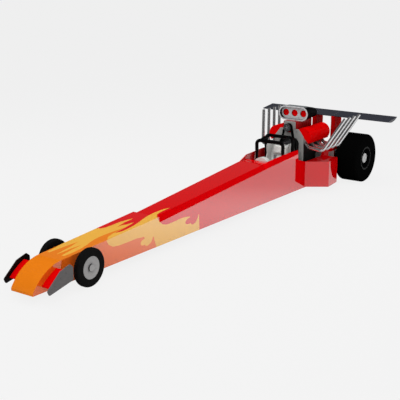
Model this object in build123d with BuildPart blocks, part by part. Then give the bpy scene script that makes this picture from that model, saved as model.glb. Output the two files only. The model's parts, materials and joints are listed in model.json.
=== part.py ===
from build123d import *
import os
from math import cos, radians, sin

# Layout, millimetres: X forward, Y left, Z up, ground at Z = 0
wheelbase = 7240
nose_overhang = 900
wall = 10
seat_gap = 0.3
run_gap = 0.1
turn_gap = 6

# Rear slicks and their wheels
slick_radius = 457
slick_width = 444
slick_outer_face = 850
slick_rim_radius = 206
slick_tread = 24

# Front tyres and their wheels
front_radius = 265
front_width = 86
front_outer_face = 365
front_rim_radius = 155
kingpin_y = 248
boss_radius = 20
boss_height = 60
lug_thick = 14
arm_length = 90
rod_radius = 9
eye_height = 24

# Body
underside = 120
pan_thickness = 10
nose_half_width = 193
tail_half_width = 324
nose_lip = 24
crown_back = 500
crown_top = 447
split_back = 2500
split_side = 464
split_top = 549
chamfer_inset = 65
cowl_ahead = 2770
cowl_side = 700
cowl_top = 775
cowl_lip_run = 320
cowl_lip_z = 748
coaming_run = 300
rim_side = 732
rim_top = 830
rim_inset = 10
hip_share = 0.295
hip_top = 850
firewall_ahead = 1690
firewall_side = 668
firewall_top = 846
pod_ahead = 1440
bay_end_ahead = 340

# Engine, measured ahead of the rear axle
engine_front = 1464
engine_length = 744
crank_z = 775
bank_angle = 45
deck_distance = 245
head_height = 137
head_width = 190
cover_radius = 155
manifold_top = 1060
blower_top = 1300
blower_half = 140
bore_pitch = 195
pipe_radius = 29
pipe_wall = 3
plate_thickness = 12

# Rear wing
wing_half_span = 1348
wing_chord = 361
wing_rise = 49
wing_lead_ahead = 177
wing_lead_z = 1232
pylon_y = 200
pylon_thickness = 24

x_front = (wheelbase + slick_radius - nose_overhang) / 2
x_rear = x_front - wheelbase
x_nose = x_front + nose_overhang
x_split = x_nose - split_back
x_cowl = x_rear + cowl_ahead
x_rim = x_cowl - coaming_run
x_lip = x_cowl - cowl_lip_run
x_firewall = x_rear + firewall_ahead
cockpit_run = x_rim - x_firewall
x_hip = x_firewall + hip_share * cockpit_run
x_pod = x_rear + pod_ahead
x_bay_end = x_rear + bay_end_ahead
x_engine = x_rear + engine_front
side_slope = (tail_half_width - nose_half_width) / (x_nose - x_pod)
bank = radians(bank_angle)

os.makedirs("parts", exist_ok=True)


def half_width(x):
    return nose_half_width + side_slope * (x_nose - x)


def plan_strip(start, end):
    # plan of the body between two stations
    with BuildSketch(Plane.XY) as strip:
        with BuildLine():
            Polyline(
                (start, half_width(start)),
                (end, half_width(end)),
                (end, -half_width(end)),
                (start, -half_width(start)),
                close=True,
            )
        make_face()
    return strip.sketch


def body_section(x, side, top, inset, trim):
    # outline across the body at x, drawn in by the panel thickness
    low = underside - trim
    half = half_width(x) - trim
    shoulder = half_width(x) - inset - 0.4 * trim
    with BuildSketch(Plane.YZ.offset(x)) as outline:
        with BuildLine():
            Polyline(
                (half, low),
                (half, side - 0.4 * trim),
                (shoulder, top - trim),
                (-shoulder, top - trim),
                (-half, side - 0.4 * trim),
                (-half, low),
                close=True,
            )
        make_face()
    return outline.sketch


def bar(start, end, radius):
    run = Vector(*end) - Vector(*start)
    with Locations(Plane(origin=start, z_dir=run)):
        Cylinder(radius, run.length, align=(Align.CENTER, Align.CENTER, Align.MIN))


def wheel_plane(x, z):
    return Plane(origin=(x, 0, z), x_dir=(1, 0, 0), z_dir=(0, 0, 1))


def wheel_axis(x, z):
    return Axis((x, 0, z), (0, 1, 0))


def save(built, name):
    built.part.label = name
    export_step(built.part, "parts/" + name + ".step")


# Nose: wedge with a rolled-over front
axle_radius = 22
rod_z = front_radius - (boss_height - eye_height) / 2
with BuildPart() as body_nose:
    x_crown = x_nose - crown_back
    lip_top = underside + nose_lip
    with BuildSketch(Plane.XZ):
        with BuildLine():
            Polyline((x_split, split_top), (x_split, underside), (x_nose, underside), (x_nose, lip_top))
            ThreePointArc(
                (x_nose, lip_top),
                (x_nose - 0.4 * crown_back, lip_top + 0.665 * (crown_top - lip_top)),
                (x_crown, crown_top),
            )
            Line((x_crown, crown_top), (x_split, split_top))
        make_face()
    extrude(amount=tail_half_width, both=True)
    extrude(plan_strip(x_nose, x_split), amount=rim_top, mode=Mode.INTERSECT)
    open_faces = [body_nose.faces().sort_by(Axis.Z)[0], body_nose.faces().sort_by(Axis.X)[0]]
    offset(amount=-wall, openings=open_faces, kind=Kind.INTERSECTION)
    with Locations(Plane(origin=(x_front, 0, front_radius), z_dir=(0, 1, 0))):
        Cylinder(axle_radius + seat_gap, 3 * tail_half_width, mode=Mode.SUBTRACT)
    with Locations(Plane(origin=(x_front - arm_length, 0, rod_z), z_dir=(0, 1, 0))):
        Cylinder(rod_radius + turn_gap, 3 * tail_half_width, mode=Mode.SUBTRACT)
save(body_nose, "body_nose")

# Main body: chamfered channel back to the cowl
with BuildPart() as body_main:
    for trim, mode in ((0, Mode.ADD), (wall, Mode.SUBTRACT)):
        front = body_section(x_split, split_side, split_top, chamfer_inset, trim)
        back = body_section(x_cowl, cowl_side, cowl_top, chamfer_inset, trim)
        loft([front, back], ruled=True, mode=mode)
save(body_main, "body_main")

# Cockpit tub: the chamfer steepens into coamings beside an open top, with a cowl and dash ahead of it
tub_table = (
    (x_cowl, cowl_side, cowl_top, chamfer_inset),
    (x_rim, rim_side, rim_top, rim_inset),
    (x_hip, rim_side, hip_top, rim_inset),
    (x_firewall, firewall_side, firewall_top, rim_inset),
)
dash_depth = 200
with BuildPart() as cockpit_tub:
    for trim, mode in ((0, Mode.ADD), (wall, Mode.SUBTRACT)):
        ribs = [body_section(x, side, top, inset, trim) for x, side, top, inset in tub_table]
        loft(ribs, ruled=True, mode=mode)
    with BuildSketch(Plane.XY.offset(cowl_side)):
        with BuildLine():
            mouth = [(x, half_width(x) - inset - 1.1 * wall) for x, side, top, inset in tub_table]
            mouth[0] = (x_cowl - wall, mouth[0][1])
            Polyline(*mouth, *[(x, -y) for x, y in reversed(mouth)], close=True)
        make_face()
    extrude(amount=firewall_top, mode=Mode.SUBTRACT)
    with BuildPart():
        with BuildSketch(Plane.XZ):
            with BuildLine():
                Polyline(
                    (x_cowl, cowl_top),
                    (x_lip, cowl_lip_z),
                    (x_lip, cowl_lip_z - dash_depth),
                    (x_lip + wall, cowl_lip_z - dash_depth),
                    (x_lip + wall, cowl_lip_z - wall),
                    (x_cowl, cowl_top - wall),
                    close=True,
                )
            make_face()
        extrude(amount=tail_half_width, both=True)
        ribs = [body_section(x, side, top, inset, wall / 2) for x, side, top, inset in tub_table]
        loft(ribs, ruled=True, mode=Mode.INTERSECT)
save(cockpit_tub, "cockpit_tub")

# Belly pan under the whole body
with BuildPart() as belly_pan:
    with BuildSketch(Plane.XY.offset(underside - pan_thickness)):
        add(plan_strip(x_nose, x_bay_end))
    extrude(amount=pan_thickness)
save(belly_pan, "belly_pan")

# Side pods: engine bay panel with a flared box ahead of each slick
pod_top = 590
pod_kick_top = 690
shoulder_back = 250
shoulder_y = 680
pod_length = 670
pod_rear_y = 632
for side, hand in ((1, "left"), (-1, "right")):
    with BuildPart() as side_pod:
        x_tail = x_pod - pod_length
        with BuildSketch(Plane.XY.offset(underside)):
            with BuildLine():
                Polyline(
                    (x_pod, side * half_width(x_pod)),
                    (x_pod - shoulder_back, side * shoulder_y),
                    (x_tail, side * pod_rear_y),
                    (x_tail, side * half_width(x_tail)),
                    close=True,
                )
            make_face()
        extrude(amount=pod_top - underside)
        rear_face = side_pod.faces().sort_by(Axis.X)[0]
        offset(amount=-wall, openings=[rear_face], kind=Kind.INTERSECTION)
        with BuildPart():
            with BuildSketch(Plane.XZ):
                with BuildLine():
                    Polyline(
                        (x_firewall, underside),
                        (x_bay_end, underside),
                        (x_bay_end, pod_kick_top),
                        (x_tail, pod_kick_top),
                        (x_tail + pod_kick_top - pod_top, pod_top),
                        (x_pod, pod_top),
                        (x_firewall, firewall_side),
                        close=True,
                    )
                make_face()
            extrude(amount=2 * tail_half_width, both=True)
            with BuildSketch(Plane.XY):
                with BuildLine():
                    Polyline(
                        (x_firewall, side * half_width(x_firewall)),
                        (x_bay_end, side * half_width(x_bay_end)),
                        (x_bay_end, side * (half_width(x_bay_end) - wall)),
                        (x_firewall, side * (half_width(x_firewall) - wall)),
                        close=True,
                    )
                make_face()
            extrude(amount=firewall_top, mode=Mode.INTERSECT)
    save(side_pod, "side_pod_" + hand)

# Gusset plates standing out from the bay panels behind the pods
gusset_ahead = 570
gusset_reach = 100
gusset_low = 140
gusset_top = 650
gusset_thick = 12
with BuildPart() as bay_gussets:
    x_gusset = x_rear + gusset_ahead
    gusset_y = half_width(x_gusset - gusset_thick) + seat_gap
    for side in (1, -1):
        with BuildSketch(Plane.YZ.offset(x_gusset)):
            with BuildLine():
                Polyline(
                    (side * gusset_y, gusset_low),
                    (side * (gusset_y + 0.5 * gusset_reach), gusset_low),
                    (side * (gusset_y + gusset_reach), gusset_low + gusset_reach),
                    (side * (gusset_y + gusset_reach), gusset_top),
                    (side * gusset_y, gusset_top - 0.3 * gusset_reach),
                    close=True,
                )
            make_face()
        extrude(amount=-gusset_thick)
save(bay_gussets, "bay_gussets")

# Front wing: a raked foil each side of the nose, closed by end plates
foil_lead = 735
foil_lead_z = 208
foil_tail = 480
foil_tail_z = 372
foil_thick = 40
plate_y = 382
plate_skin = 8
with BuildPart() as front_wing:
    with BuildSketch(Plane.XZ):
        with BuildLine():
            x_belly = x_front + (foil_lead + foil_tail) / 2
            low_mid = (x_belly, (foil_lead_z + foil_tail_z) / 2 + 14 - foil_thick)
            top_mid = (x_belly, (foil_lead_z + foil_tail_z) / 2 + 14)
            ThreePointArc((x_front + foil_tail, foil_tail_z), top_mid, (x_front + foil_lead, foil_lead_z))
            ThreePointArc(
                (x_front + foil_lead, foil_lead_z),
                (x_front + foil_lead + 6, foil_lead_z - 12),
                (x_front + foil_lead - 4, foil_lead_z - 22),
            )
            ThreePointArc(
                (x_front + foil_lead - 4, foil_lead_z - 22), low_mid, (x_front + foil_tail, foil_tail_z - 8)
            )
            Line((x_front + foil_tail, foil_tail_z - 8), (x_front + foil_tail, foil_tail_z))
        make_face()
    extrude(amount=plate_y, both=True)
    extrude(plan_strip(x_nose, x_split), amount=rim_top, mode=Mode.SUBTRACT)
save(front_wing, "front_wing")

endplate_table = (
    # ahead of the front axle, height
    (372, 218),
    (812, 134),
    (846, 204),
    (610, 396),
    (430, 444),
    (372, 396),
)
with BuildPart() as front_wing_endplates:
    with BuildSketch(Plane.XZ.offset(plate_y)):
        with BuildLine():
            Polyline(
                *[(x_front + ahead, height) for ahead, height in endplate_table],
                close=True,
            )
        make_face()
        fillet(vertices(), radius=28)
    extrude(amount=plate_skin)
    mirror(about=Plane.XZ)
save(front_wing_endplates, "front_wing_endplates")

# Front axle: a tube through the nose with a kingpin boss at each end
pin_radius = 8
with BuildPart() as front_axle:
    bar((x_front, -kingpin_y, front_radius), (x_front, kingpin_y, front_radius), axle_radius)
    with Locations((x_front, kingpin_y, front_radius), (x_front, -kingpin_y, front_radius)):
        Cylinder(boss_radius, boss_height)
        Cylinder(pin_radius + run_gap, 2 * boss_height, mode=Mode.SUBTRACT)
save(front_axle, "front_axle")

# Steering knuckles: fork, pin, spindle and arm
lug_radius = 22
web_thick = 10
spindle_radius = 14
front_inner_face = front_outer_face - front_width
spindle_end = front_outer_face - 14
eye_radius = 18
for side, hand in ((1, "left"), (-1, "right")):
    with BuildPart() as knuckle:
        lug_z = boss_height / 2 + 0.5 + lug_thick / 2
        web_y = kingpin_y + boss_radius + turn_gap
        for level in (1, -1):
            with Locations((x_front, side * kingpin_y, front_radius + level * lug_z)):
                Cylinder(lug_radius, lug_thick)
            with Locations((x_front, side * (kingpin_y + web_y) / 2, front_radius + level * lug_z)):
                Box(2 * lug_radius, web_y - kingpin_y, lug_thick)
        with Locations((x_front, side * (web_y + web_thick / 2), front_radius)):
            Box(2 * lug_radius, web_thick, boss_height + 1 + 2 * lug_thick)
        bar((x_front, side * web_y, front_radius), (x_front, side * spindle_end, front_radius), spindle_radius)
        with Locations((x_front, side * kingpin_y, front_radius)):
            Cylinder(pin_radius, boss_height + 2 * lug_thick)
        arm_z = front_radius - lug_z
        with Locations((x_front - arm_length / 2, side * kingpin_y, arm_z)):
            Box(arm_length, 1.2 * lug_radius, lug_thick)
        with Locations((x_front - arm_length, side * kingpin_y, arm_z)):
            Cylinder(0.6 * lug_radius, lug_thick)
        with Locations((x_front - arm_length, side * kingpin_y, arm_z + lug_thick / 2)):
            Cylinder(pin_radius, eye_height + 4, align=(Align.CENTER, Align.CENTER, Align.MIN))
    save(knuckle, "knuckle_" + hand)

# Tie rod with an eye over each arm pin
with BuildPart() as tie_rod:
    x_rod = x_front - arm_length
    bar((x_rod, -kingpin_y, rod_z), (x_rod, kingpin_y, rod_z), rod_radius)
    with Locations((x_rod, kingpin_y, rod_z), (x_rod, -kingpin_y, rod_z)):
        Cylinder(eye_radius, eye_height)
        Cylinder(pin_radius + 3, 60, mode=Mode.SUBTRACT)
save(tie_rod, "tie_rod")

# Front wheels: spun disc on a plain hub
hub_radius = 30
for side, hand in ((1, "left"), (-1, "right")):
    with BuildPart() as front_rim:
        with BuildSketch(wheel_plane(x_front, front_radius)):
            with BuildLine():
                bore = spindle_radius + run_gap
                inner = front_inner_face + 8
                outer = front_outer_face - 4
                Polyline(
                    (bore, side * (inner + 12)),
                    (hub_radius, side * (inner + 12)),
                    (hub_radius, side * (outer - 22)),
                    (front_rim_radius - 40, side * (outer - 14)),
                    (front_rim_radius - 10, side * (outer - 20)),
                    (front_rim_radius - 10, side * inner),
                    (front_rim_radius, side * inner),
                    (front_rim_radius, side * outer),
                    (front_rim_radius - 8, side * outer),
                    (front_rim_radius - 40, side * (outer - 6)),
                    (hub_radius, side * (outer - 12)),
                    (hub_radius - 6, side * outer),
                    (0, side * outer),
                    (0, side * (spindle_end + 1)),
                    (bore, side * (spindle_end + 1)),
                    close=True,
                )
            make_face()
        revolve(axis=wheel_axis(x_front, front_radius))
    save(front_rim, "front_rim_" + hand)
    with BuildPart() as front_tyre:
        with BuildSketch(wheel_plane(x_front, front_radius)):
            with Locations((0, side * (front_outer_face - front_width / 2))):
                with Locations(((front_rim_radius + seat_gap + front_radius) / 2, 0)):
                    Rectangle(front_radius - front_rim_radius - seat_gap, front_width)
                fillet(vertices().group_by(Axis.X)[-1], radius=24)
                fillet(vertices().group_by(Axis.X)[0], radius=6)
                with Locations((front_rim_radius + seat_gap, 0)):
                    Rectangle(
                        front_radius - front_rim_radius - 18, front_width - 28,
                        align=(Align.MIN, Align.CENTER), mode=Mode.SUBTRACT,
                    )
        revolve(axis=wheel_axis(x_front, front_radius))
    save(front_tyre, "front_tyre_" + hand)

# Instrument pod: a domed hood behind the cowl lip
pod_half = 122
pod_rise = 66
pod_reach = 140
with BuildPart() as dash_pod:
    with BuildSketch(Plane.YZ.offset(x_lip - seat_gap)):
        with Locations((0, cowl_lip_z - 2 * wall)):
            Ellipse(pod_half, pod_rise + wall)
            Rectangle(
                4 * pod_half, 4 * pod_half,
                align=(Align.CENTER, Align.MAX), mode=Mode.SUBTRACT,
            )
    extrude(amount=-pod_reach)
    fillet(dash_pod.faces().sort_by(Axis.X)[0].edges().sort_by(Axis.Z)[-1], radius=40)
save(dash_pod, "dash_pod")

# Firewall behind the seat
firewall_thick = 8
with BuildPart() as firewall:
    half = half_width(x_firewall) - wall
    with BuildSketch(Plane.YZ.offset(x_firewall - firewall_thick)):
        with BuildLine():
            Polyline(
                (half, underside),
                (half, firewall_side - wall),
                (half - 60, firewall_top - 40),
                (60 - half, firewall_top - 40),
                (-half, firewall_side - wall),
                (-half, underside),
                close=True,
            )
        make_face()
    extrude(amount=firewall_thick)
save(firewall, "firewall")

# Roll cage: two hoops tied together over the seat
tube_radius = 25
hoop_table = (
    # share of the cockpit from its back, half width at the foot, half width at the top, top height
    (0.603, 240, 268, 1040),
    (0.180, 240, 278, 1082),
)
hoop_bend = 70
with BuildPart() as roll_cage:
    for share, foot_half, top_half, top in hoop_table:
        x_hoop = x_firewall + share * cockpit_run
        foot = (x_hoop, -foot_half, underside)
        with BuildLine() as hoop:
            FilletPolyline(
                foot, (x_hoop, -top_half, top), (x_hoop, top_half, top), (x_hoop, foot_half, underside),
                radius=hoop_bend,
            )
        with BuildSketch(Plane(origin=foot, z_dir=hoop.line % 0)):
            Circle(tube_radius)
        sweep(path=hoop.line)
    for side in (1, -1):
        ends = []
        for share, foot_half, top_half, top in hoop_table:
            ends.append((x_firewall + share * cockpit_run, side * (top_half - hoop_bend), top))
        bar(ends[0], ends[1], tube_radius - 3)
    with Locations(((x_firewall + x_rim) / 2, 0, underside)):
        Box(
            2 * cockpit_run, 4 * tail_half_width, hoop_bend,
            align=(Align.CENTER, Align.CENTER, Align.MAX), mode=Mode.SUBTRACT,
        )
save(roll_cage, "roll_cage")

# Seat: reclined bucket with a head surround
seat_half = 190
seat_skin = 22
seat_back_gap = 30
seat_reach = 560
seat_front = 150
cushion_rise = 170
cushion_run = 480
hip_run = 250
hip_drop = 130
back_top = 940
back_lean = 50
back_thick = 60
foot_back = 160
bolster_table = (
    # ahead of the seat's back corner, height above the floor
    (470, 0),
    (450, 260),
    (330, 330),
    (190, 640),
    (210, 800),
    (140, 850),
    (5, 842),
    (-8, 800),
    (160, 0),
)
with BuildPart() as seat:
    x_seat = x_firewall + seat_back_gap
    with BuildSketch(Plane.XZ):
        with BuildLine():
            Polyline(
                (x_seat + seat_reach, underside),
                (x_seat + seat_reach, underside + seat_front),
                (x_seat + cushion_run, underside + cushion_rise),
                (x_seat + hip_run, underside + hip_drop),
                (x_seat + back_lean, back_top),
                (x_seat + back_lean - back_thick, back_top - 0.2 * back_thick),
                (x_seat + foot_back, underside),
                close=True,
            )
        make_face()
        fillet(vertices().group_by(Axis.Z)[-1], radius=back_thick / 3)
    extrude(amount=seat_half, both=True)
    with BuildSketch(Plane.XZ):
        with BuildLine():
            Polyline(*[(x_seat + run, underside + rise) for run, rise in bolster_table], close=True)
        make_face()
    extrude(amount=seat_half + seat_skin, both=True)
    with BuildSketch(Plane.XZ):
        with BuildLine():
            Polyline(
                (x_seat + 2 * seat_reach, underside + cushion_rise),
                (x_seat + cushion_run, underside + cushion_rise),
                (x_seat + hip_run, underside + hip_drop),
                (x_seat + back_lean, back_top),
                (x_seat + back_lean, 2 * back_top),
                (x_seat + 2 * seat_reach, 2 * back_top),
                close=True,
            )
        make_face()
    extrude(amount=seat_half, both=True, mode=Mode.SUBTRACT)
save(seat, "seat")

# Steering wheel on its column
column_length = 110
column_drop = 120
column_radius = 15
grip_wide = 290
grip_tall = 190
grip_thick = 18
with BuildPart() as steering_wheel:
    x_wheel = x_lip - column_length
    wheel_z = cowl_lip_z - column_drop
    with BuildSketch(Plane(origin=(x_wheel, 0, wheel_z), x_dir=(0, 1, 0), z_dir=(1, 0, 0.3))):
        SlotOverall(grip_wide, grip_tall)
        SlotOverall(grip_wide - 3 * grip_thick, grip_tall - 3 * grip_thick, mode=Mode.SUBTRACT)
        Rectangle(grip_wide - 2 * grip_thick, 2.4 * grip_thick)
    extrude(amount=grip_thick)
    bar((x_wheel, 0, wheel_z), (x_lip, 0, wheel_z), column_radius)
save(steering_wheel, "steering_wheel")

# Lower frame rails with a saddle under the rear axle
rail_radius = 19
rail_y = 268
rail_z = underside + rail_radius + 20
housing_radius = 62
saddle_thick = 20
rail_tail = 170
with BuildPart() as frame_rails:
    for side in (1, -1):
        rail_front = (x_firewall - firewall_thick, side * rail_y, rail_z)
        bar(rail_front, (x_rear - rail_tail, side * rail_y, rail_z), rail_radius)
        with Locations((x_rear, side * rail_y, rail_z)):
            Box(150, saddle_thick, slick_radius - rail_z, align=(Align.CENTER, Align.CENTER, Align.MIN))
    with Locations(Plane(origin=(x_rear, 0, slick_radius), z_dir=(0, 1, 0))):
        Cylinder(housing_radius, 2 * slick_outer_face, mode=Mode.SUBTRACT)
    with Locations((x_rear - rail_tail + rail_radius, 0, rail_z)):
        Box(2 * rail_radius, 2 * rail_y, 2 * rail_radius)
save(frame_rails, "frame_rails")

# Motor plates: an arch ahead of the block and a cross plate behind it
plate_half = rail_y + rail_radius + 3
leg_width = 112
snout_z = crank_z + 425
with BuildPart() as motor_plate_front:
    with BuildSketch(Plane.YZ.offset(x_engine)):
        with BuildLine():
            Polyline(
                (plate_half, underside),
                (plate_half, crank_z + 265),
                (plate_half - 100, crank_z + 395),
                (75, crank_z + 395),
                (60, crank_z + 320),
                (-60, crank_z + 320),
                (-75, crank_z + 395),
                (100 - plate_half, crank_z + 395),
                (-plate_half, crank_z + 265),
                (-plate_half, underside),
                (leg_width - plate_half, underside),
                (leg_width - plate_half - 22, crank_z + 150),
                (leg_width - plate_half + 22, crank_z + 230),
                (plate_half - leg_width - 22, crank_z + 230),
                (plate_half - leg_width + 22, crank_z + 150),
                (plate_half - leg_width, underside),
                close=True,
            )
        make_face()
        with Locations((rail_y, rail_z), (-rail_y, rail_z)):
            Circle(rail_radius + seat_gap, mode=Mode.SUBTRACT)
    extrude(amount=plate_thickness)
save(motor_plate_front, "motor_plate_front")

x_engine_rear = x_engine - engine_length
with BuildPart() as motor_plate_rear:
    with BuildSketch(Plane.YZ.offset(x_engine_rear)):
        with BuildLine():
            Polyline(
                (plate_half, underside),
                (plate_half, 640),
                (215, crank_z + 60),
                (-215, crank_z + 60),
                (-plate_half, 640),
                (-plate_half, underside),
                (90 - plate_half, underside),
                (90 - plate_half, crank_z - 330),
                (plate_half - 90, crank_z - 330),
                (plate_half - 90, underside),
                close=True,
            )
        make_face()
        with Locations((rail_y, rail_z), (-rail_y, rail_z)):
            Circle(rail_radius + seat_gap, mode=Mode.SUBTRACT)
    extrude(amount=-plate_thickness)
save(motor_plate_rear, "motor_plate_rear")

# Engine block: V with a deep pan
deck_y = deck_distance * sin(bank)
deck_z = crank_z + deck_distance * cos(bank)
deck_half = head_width / 2
valley_z = deck_z - 20
skirt_half = 190
pan_drop = 320
with BuildPart() as engine_block:
    with BuildSketch(Plane.YZ.offset(x_engine_rear)):
        with BuildLine():
            out_y = deck_y + deck_half * cos(bank)
            out_z = deck_z - deck_half * sin(bank)
            in_y = deck_y - deck_half * cos(bank)
            in_z = deck_z + deck_half * sin(bank)
            Polyline(
                (0, valley_z),
                (in_y, in_z),
                (out_y, out_z),
                (skirt_half, crank_z - 0.2 * pan_drop),
                (0.8 * skirt_half, crank_z - 0.44 * pan_drop),
                (0.7 * skirt_half, crank_z - pan_drop),
                (-0.7 * skirt_half, crank_z - pan_drop),
                (-0.8 * skirt_half, crank_z - 0.44 * pan_drop),
                (-skirt_half, crank_z - 0.2 * pan_drop),
                (-out_y, out_z),
                (-in_y, in_z),
                close=True,
            )
        make_face()
    extrude(amount=engine_length)
save(engine_block, "engine_block")


def bank_spot(distance, side):
    # point on a bank's axis a distance from the crank, with the bank's tilt
    spot = (side * distance * sin(bank), crank_z + distance * cos(bank), 0)
    return Location(spot, (0, 0, -side * bank_angle))


with BuildPart() as cylinder_heads:
    with BuildSketch(Plane.YZ.offset(x_engine_rear + 10)):
        for side in (1, -1):
            with Locations(bank_spot(deck_distance + head_height / 2, side)):
                Rectangle(head_width, head_height)
    extrude(amount=engine_length - 20)
save(cylinder_heads, "cylinder_heads")

cover_lip = 7
with BuildPart() as valve_covers:
    with BuildSketch(Plane.YZ.offset(x_engine_rear)):
        for side in (1, -1):
            with Locations(bank_spot(deck_distance + head_height, side)):
                Circle(cover_radius)
        for side in (1, -1):
            with Locations(bank_spot(deck_distance + head_height, side)):
                Rectangle(
                    3 * cover_radius, 2 * cover_radius,
                    align=(Align.CENTER, Align.MAX), mode=Mode.SUBTRACT,
                )
    extrude(amount=engine_length)
    with BuildSketch(Plane.YZ.offset(x_engine_rear)):
        for side in (1, -1):
            with Locations(bank_spot(deck_distance + head_height, side)):
                Rectangle(2 * (cover_radius + cover_lip), 2 * cover_lip, align=(Align.CENTER, Align.MIN))
    extrude(amount=engine_length)
save(valve_covers, "valve_covers")

# Intake manifold in the valley
valley_slope = (in_z - valley_z) / in_y
manifold_back = 40
with BuildPart() as intake_manifold:
    with BuildSketch(Plane.YZ.offset(x_engine_rear + manifold_back)):
        with BuildLine():
            foot_y = 0.88 * in_y
            foot_z = valley_z + valley_slope * foot_y
            Polyline(
                (0, valley_z),
                (foot_y, foot_z),
                (blower_half - 8, manifold_top),
                (8 - blower_half, manifold_top),
                (-foot_y, foot_z),
                close=True,
            )
        make_face()
    extrude(amount=engine_length - 2 * manifold_back)
save(intake_manifold, "intake_manifold")

# Blower, its drive and the injector hat
blower_back = 14
rib_count = 7
rib_thick = 12
rib_proud = 8
blower_length = 540
x_blower = x_engine - blower_back
with BuildPart() as blower_case:
    with BuildSketch(Plane.YZ.offset(x_blower - blower_length)):
        with Locations((0, manifold_top)):
            Rectangle(2 * blower_half, blower_top - manifold_top, align=(Align.CENTER, Align.MIN))
        fillet(vertices().group_by(Axis.Y)[0], radius=70)
        fillet(vertices().group_by(Axis.Y)[-1], radius=24)
    extrude(amount=blower_length)
    for number in range(rib_count):
        x_rib = x_blower - blower_length * (number + 0.5) / rib_count
        with Locations((x_rib, 0, (manifold_top + blower_top) / 2)):
            Box(rib_thick, 2 * (blower_half + rib_proud), 0.55 * (blower_top - manifold_top))
save(blower_case, "blower_case")

# Grey drive cover on the front of the blower, round its snout
snout_radius = 44
cover_half = 112
cover_thick = 26
cover_low = crank_z + 395 + 2
with BuildPart() as blower_cover:
    with BuildSketch(Plane.YZ.offset(x_blower)):
        with Locations((0, cover_low)):
            Rectangle(2 * cover_half, blower_top - cover_low, align=(Align.CENTER, Align.MIN))
        fillet(vertices().group_by(Axis.Y)[-1], radius=24)
        with Locations((0, snout_z)):
            Circle(snout_radius + seat_gap, mode=Mode.SUBTRACT)
    extrude(amount=cover_thick)
save(blower_cover, "blower_cover")

belt_width = 76
belt_thick = 10
belt_gap = 20
x_belt = x_engine + plate_thickness + belt_gap
guide_thick = 4
guide_proud = 5
spoke_holes = 6
crank_pulley = 165
blower_pulley = 58
crank_hub = 60
with BuildPart() as blower_pulleys:
    for radius, centre_z in ((crank_pulley, crank_z), (blower_pulley, snout_z)):
        with BuildSketch(Plane.YZ.offset(x_belt)):
            with Locations((0, centre_z)):
                Circle(radius - seat_gap)
        extrude(amount=belt_width)
        for x_guide in (x_belt - guide_thick - seat_gap, x_belt + belt_width + seat_gap):
            with BuildSketch(Plane.YZ.offset(x_guide)):
                with Locations((0, centre_z)):
                    Circle(radius + belt_thick + guide_proud)
            extrude(amount=guide_thick)
        x_back = x_belt - guide_thick
        bar((x_back, 0, centre_z), (x_belt + belt_width + guide_thick, 0, centre_z), radius - belt_thick)
    bar((x_engine, 0, crank_z), (x_belt, 0, crank_z), crank_hub)
    bar((x_blower, 0, snout_z), (x_belt, 0, snout_z), snout_radius)
    with Locations(Plane(origin=(x_belt, 0, crank_z), z_dir=(1, 0, 0))):
        with PolarLocations(0.62 * crank_pulley, spoke_holes):
            Cylinder(0.2 * crank_pulley, 4 * belt_width, mode=Mode.SUBTRACT)
save(blower_pulleys, "blower_pulleys")

with BuildPart() as blower_belt:
    with BuildSketch(Plane.YZ.offset(x_belt)):
        with Locations((0, crank_z)):
            Circle(crank_pulley + belt_thick)
        with Locations((0, snout_z)):
            Circle(blower_pulley + belt_thick)
        make_hull()
        offset(amount=-belt_thick, mode=Mode.SUBTRACT)
    extrude(amount=belt_width)
save(blower_belt, "blower_belt")

hat_front = 1366
hat_length = 560
hat_half = 296
hat_height = 258
mouth_lip = 24
mouth_depth = 62
bore_depth = 90
flap_radius = 62
flap_pitch = 178
flap_back = 24
x_hat = x_rear + hat_front
hat_z = blower_top + hat_height / 2
with BuildPart() as injector_hat:
    with BuildSketch(Plane.YZ.offset(x_hat)) as hat_mouth:
        with Locations((0, hat_z)):
            SlotOverall(2 * hat_half, hat_height)
    with BuildSketch(Plane.YZ.offset(x_hat - 0.3 * hat_length)) as hat_waist:
        with Locations((0, hat_z)):
            SlotOverall(2 * hat_half - 30, hat_height - 8)
    with BuildSketch(Plane.YZ.offset(x_hat - hat_length)) as hat_tail:
        with Locations((0, hat_z - 40)):
            SlotOverall(1.3 * hat_half, hat_height - 90)
    loft(ruled=True)
    with Locations((x_hat - 0.5 * hat_length, 0, blower_top)):
        Box(
            0.7 * hat_length, 1.6 * blower_half, 0.5 * hat_height,
            align=(Align.CENTER, Align.CENTER, Align.MIN),
        )
    with BuildSketch(Plane.YZ.offset(x_hat)):
        with Locations((0, hat_z)):
            SlotOverall(2 * (hat_half - mouth_lip), hat_height - 2 * mouth_lip)
    extrude(amount=-mouth_depth, mode=Mode.SUBTRACT)
    with BuildSketch(Plane.YZ.offset(x_hat - mouth_depth)):
        with Locations(*[(place * flap_pitch, hat_z) for place in (-1, 0, 1)]):
            Circle(flap_radius + seat_gap)
    extrude(amount=-bore_depth, mode=Mode.SUBTRACT)
save(injector_hat, "injector_hat")

flap_thick = 6
flap_shaft = 8
with BuildPart() as throttle_butterflies:
    x_flap = x_hat - mouth_depth - flap_back
    for place in (-1, 0, 1):
        flap_y = place * flap_pitch
        with Locations(Plane(origin=(x_flap, flap_y, hat_z), z_dir=(1, 0, 0.15))):
            Cylinder(flap_radius, flap_thick)
        shaft_half = flap_radius - 1
        bar((x_flap, flap_y - shaft_half, hat_z), (x_flap, flap_y + shaft_half, hat_z), flap_shaft)
save(throttle_butterflies, "throttle_butterflies")

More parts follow.
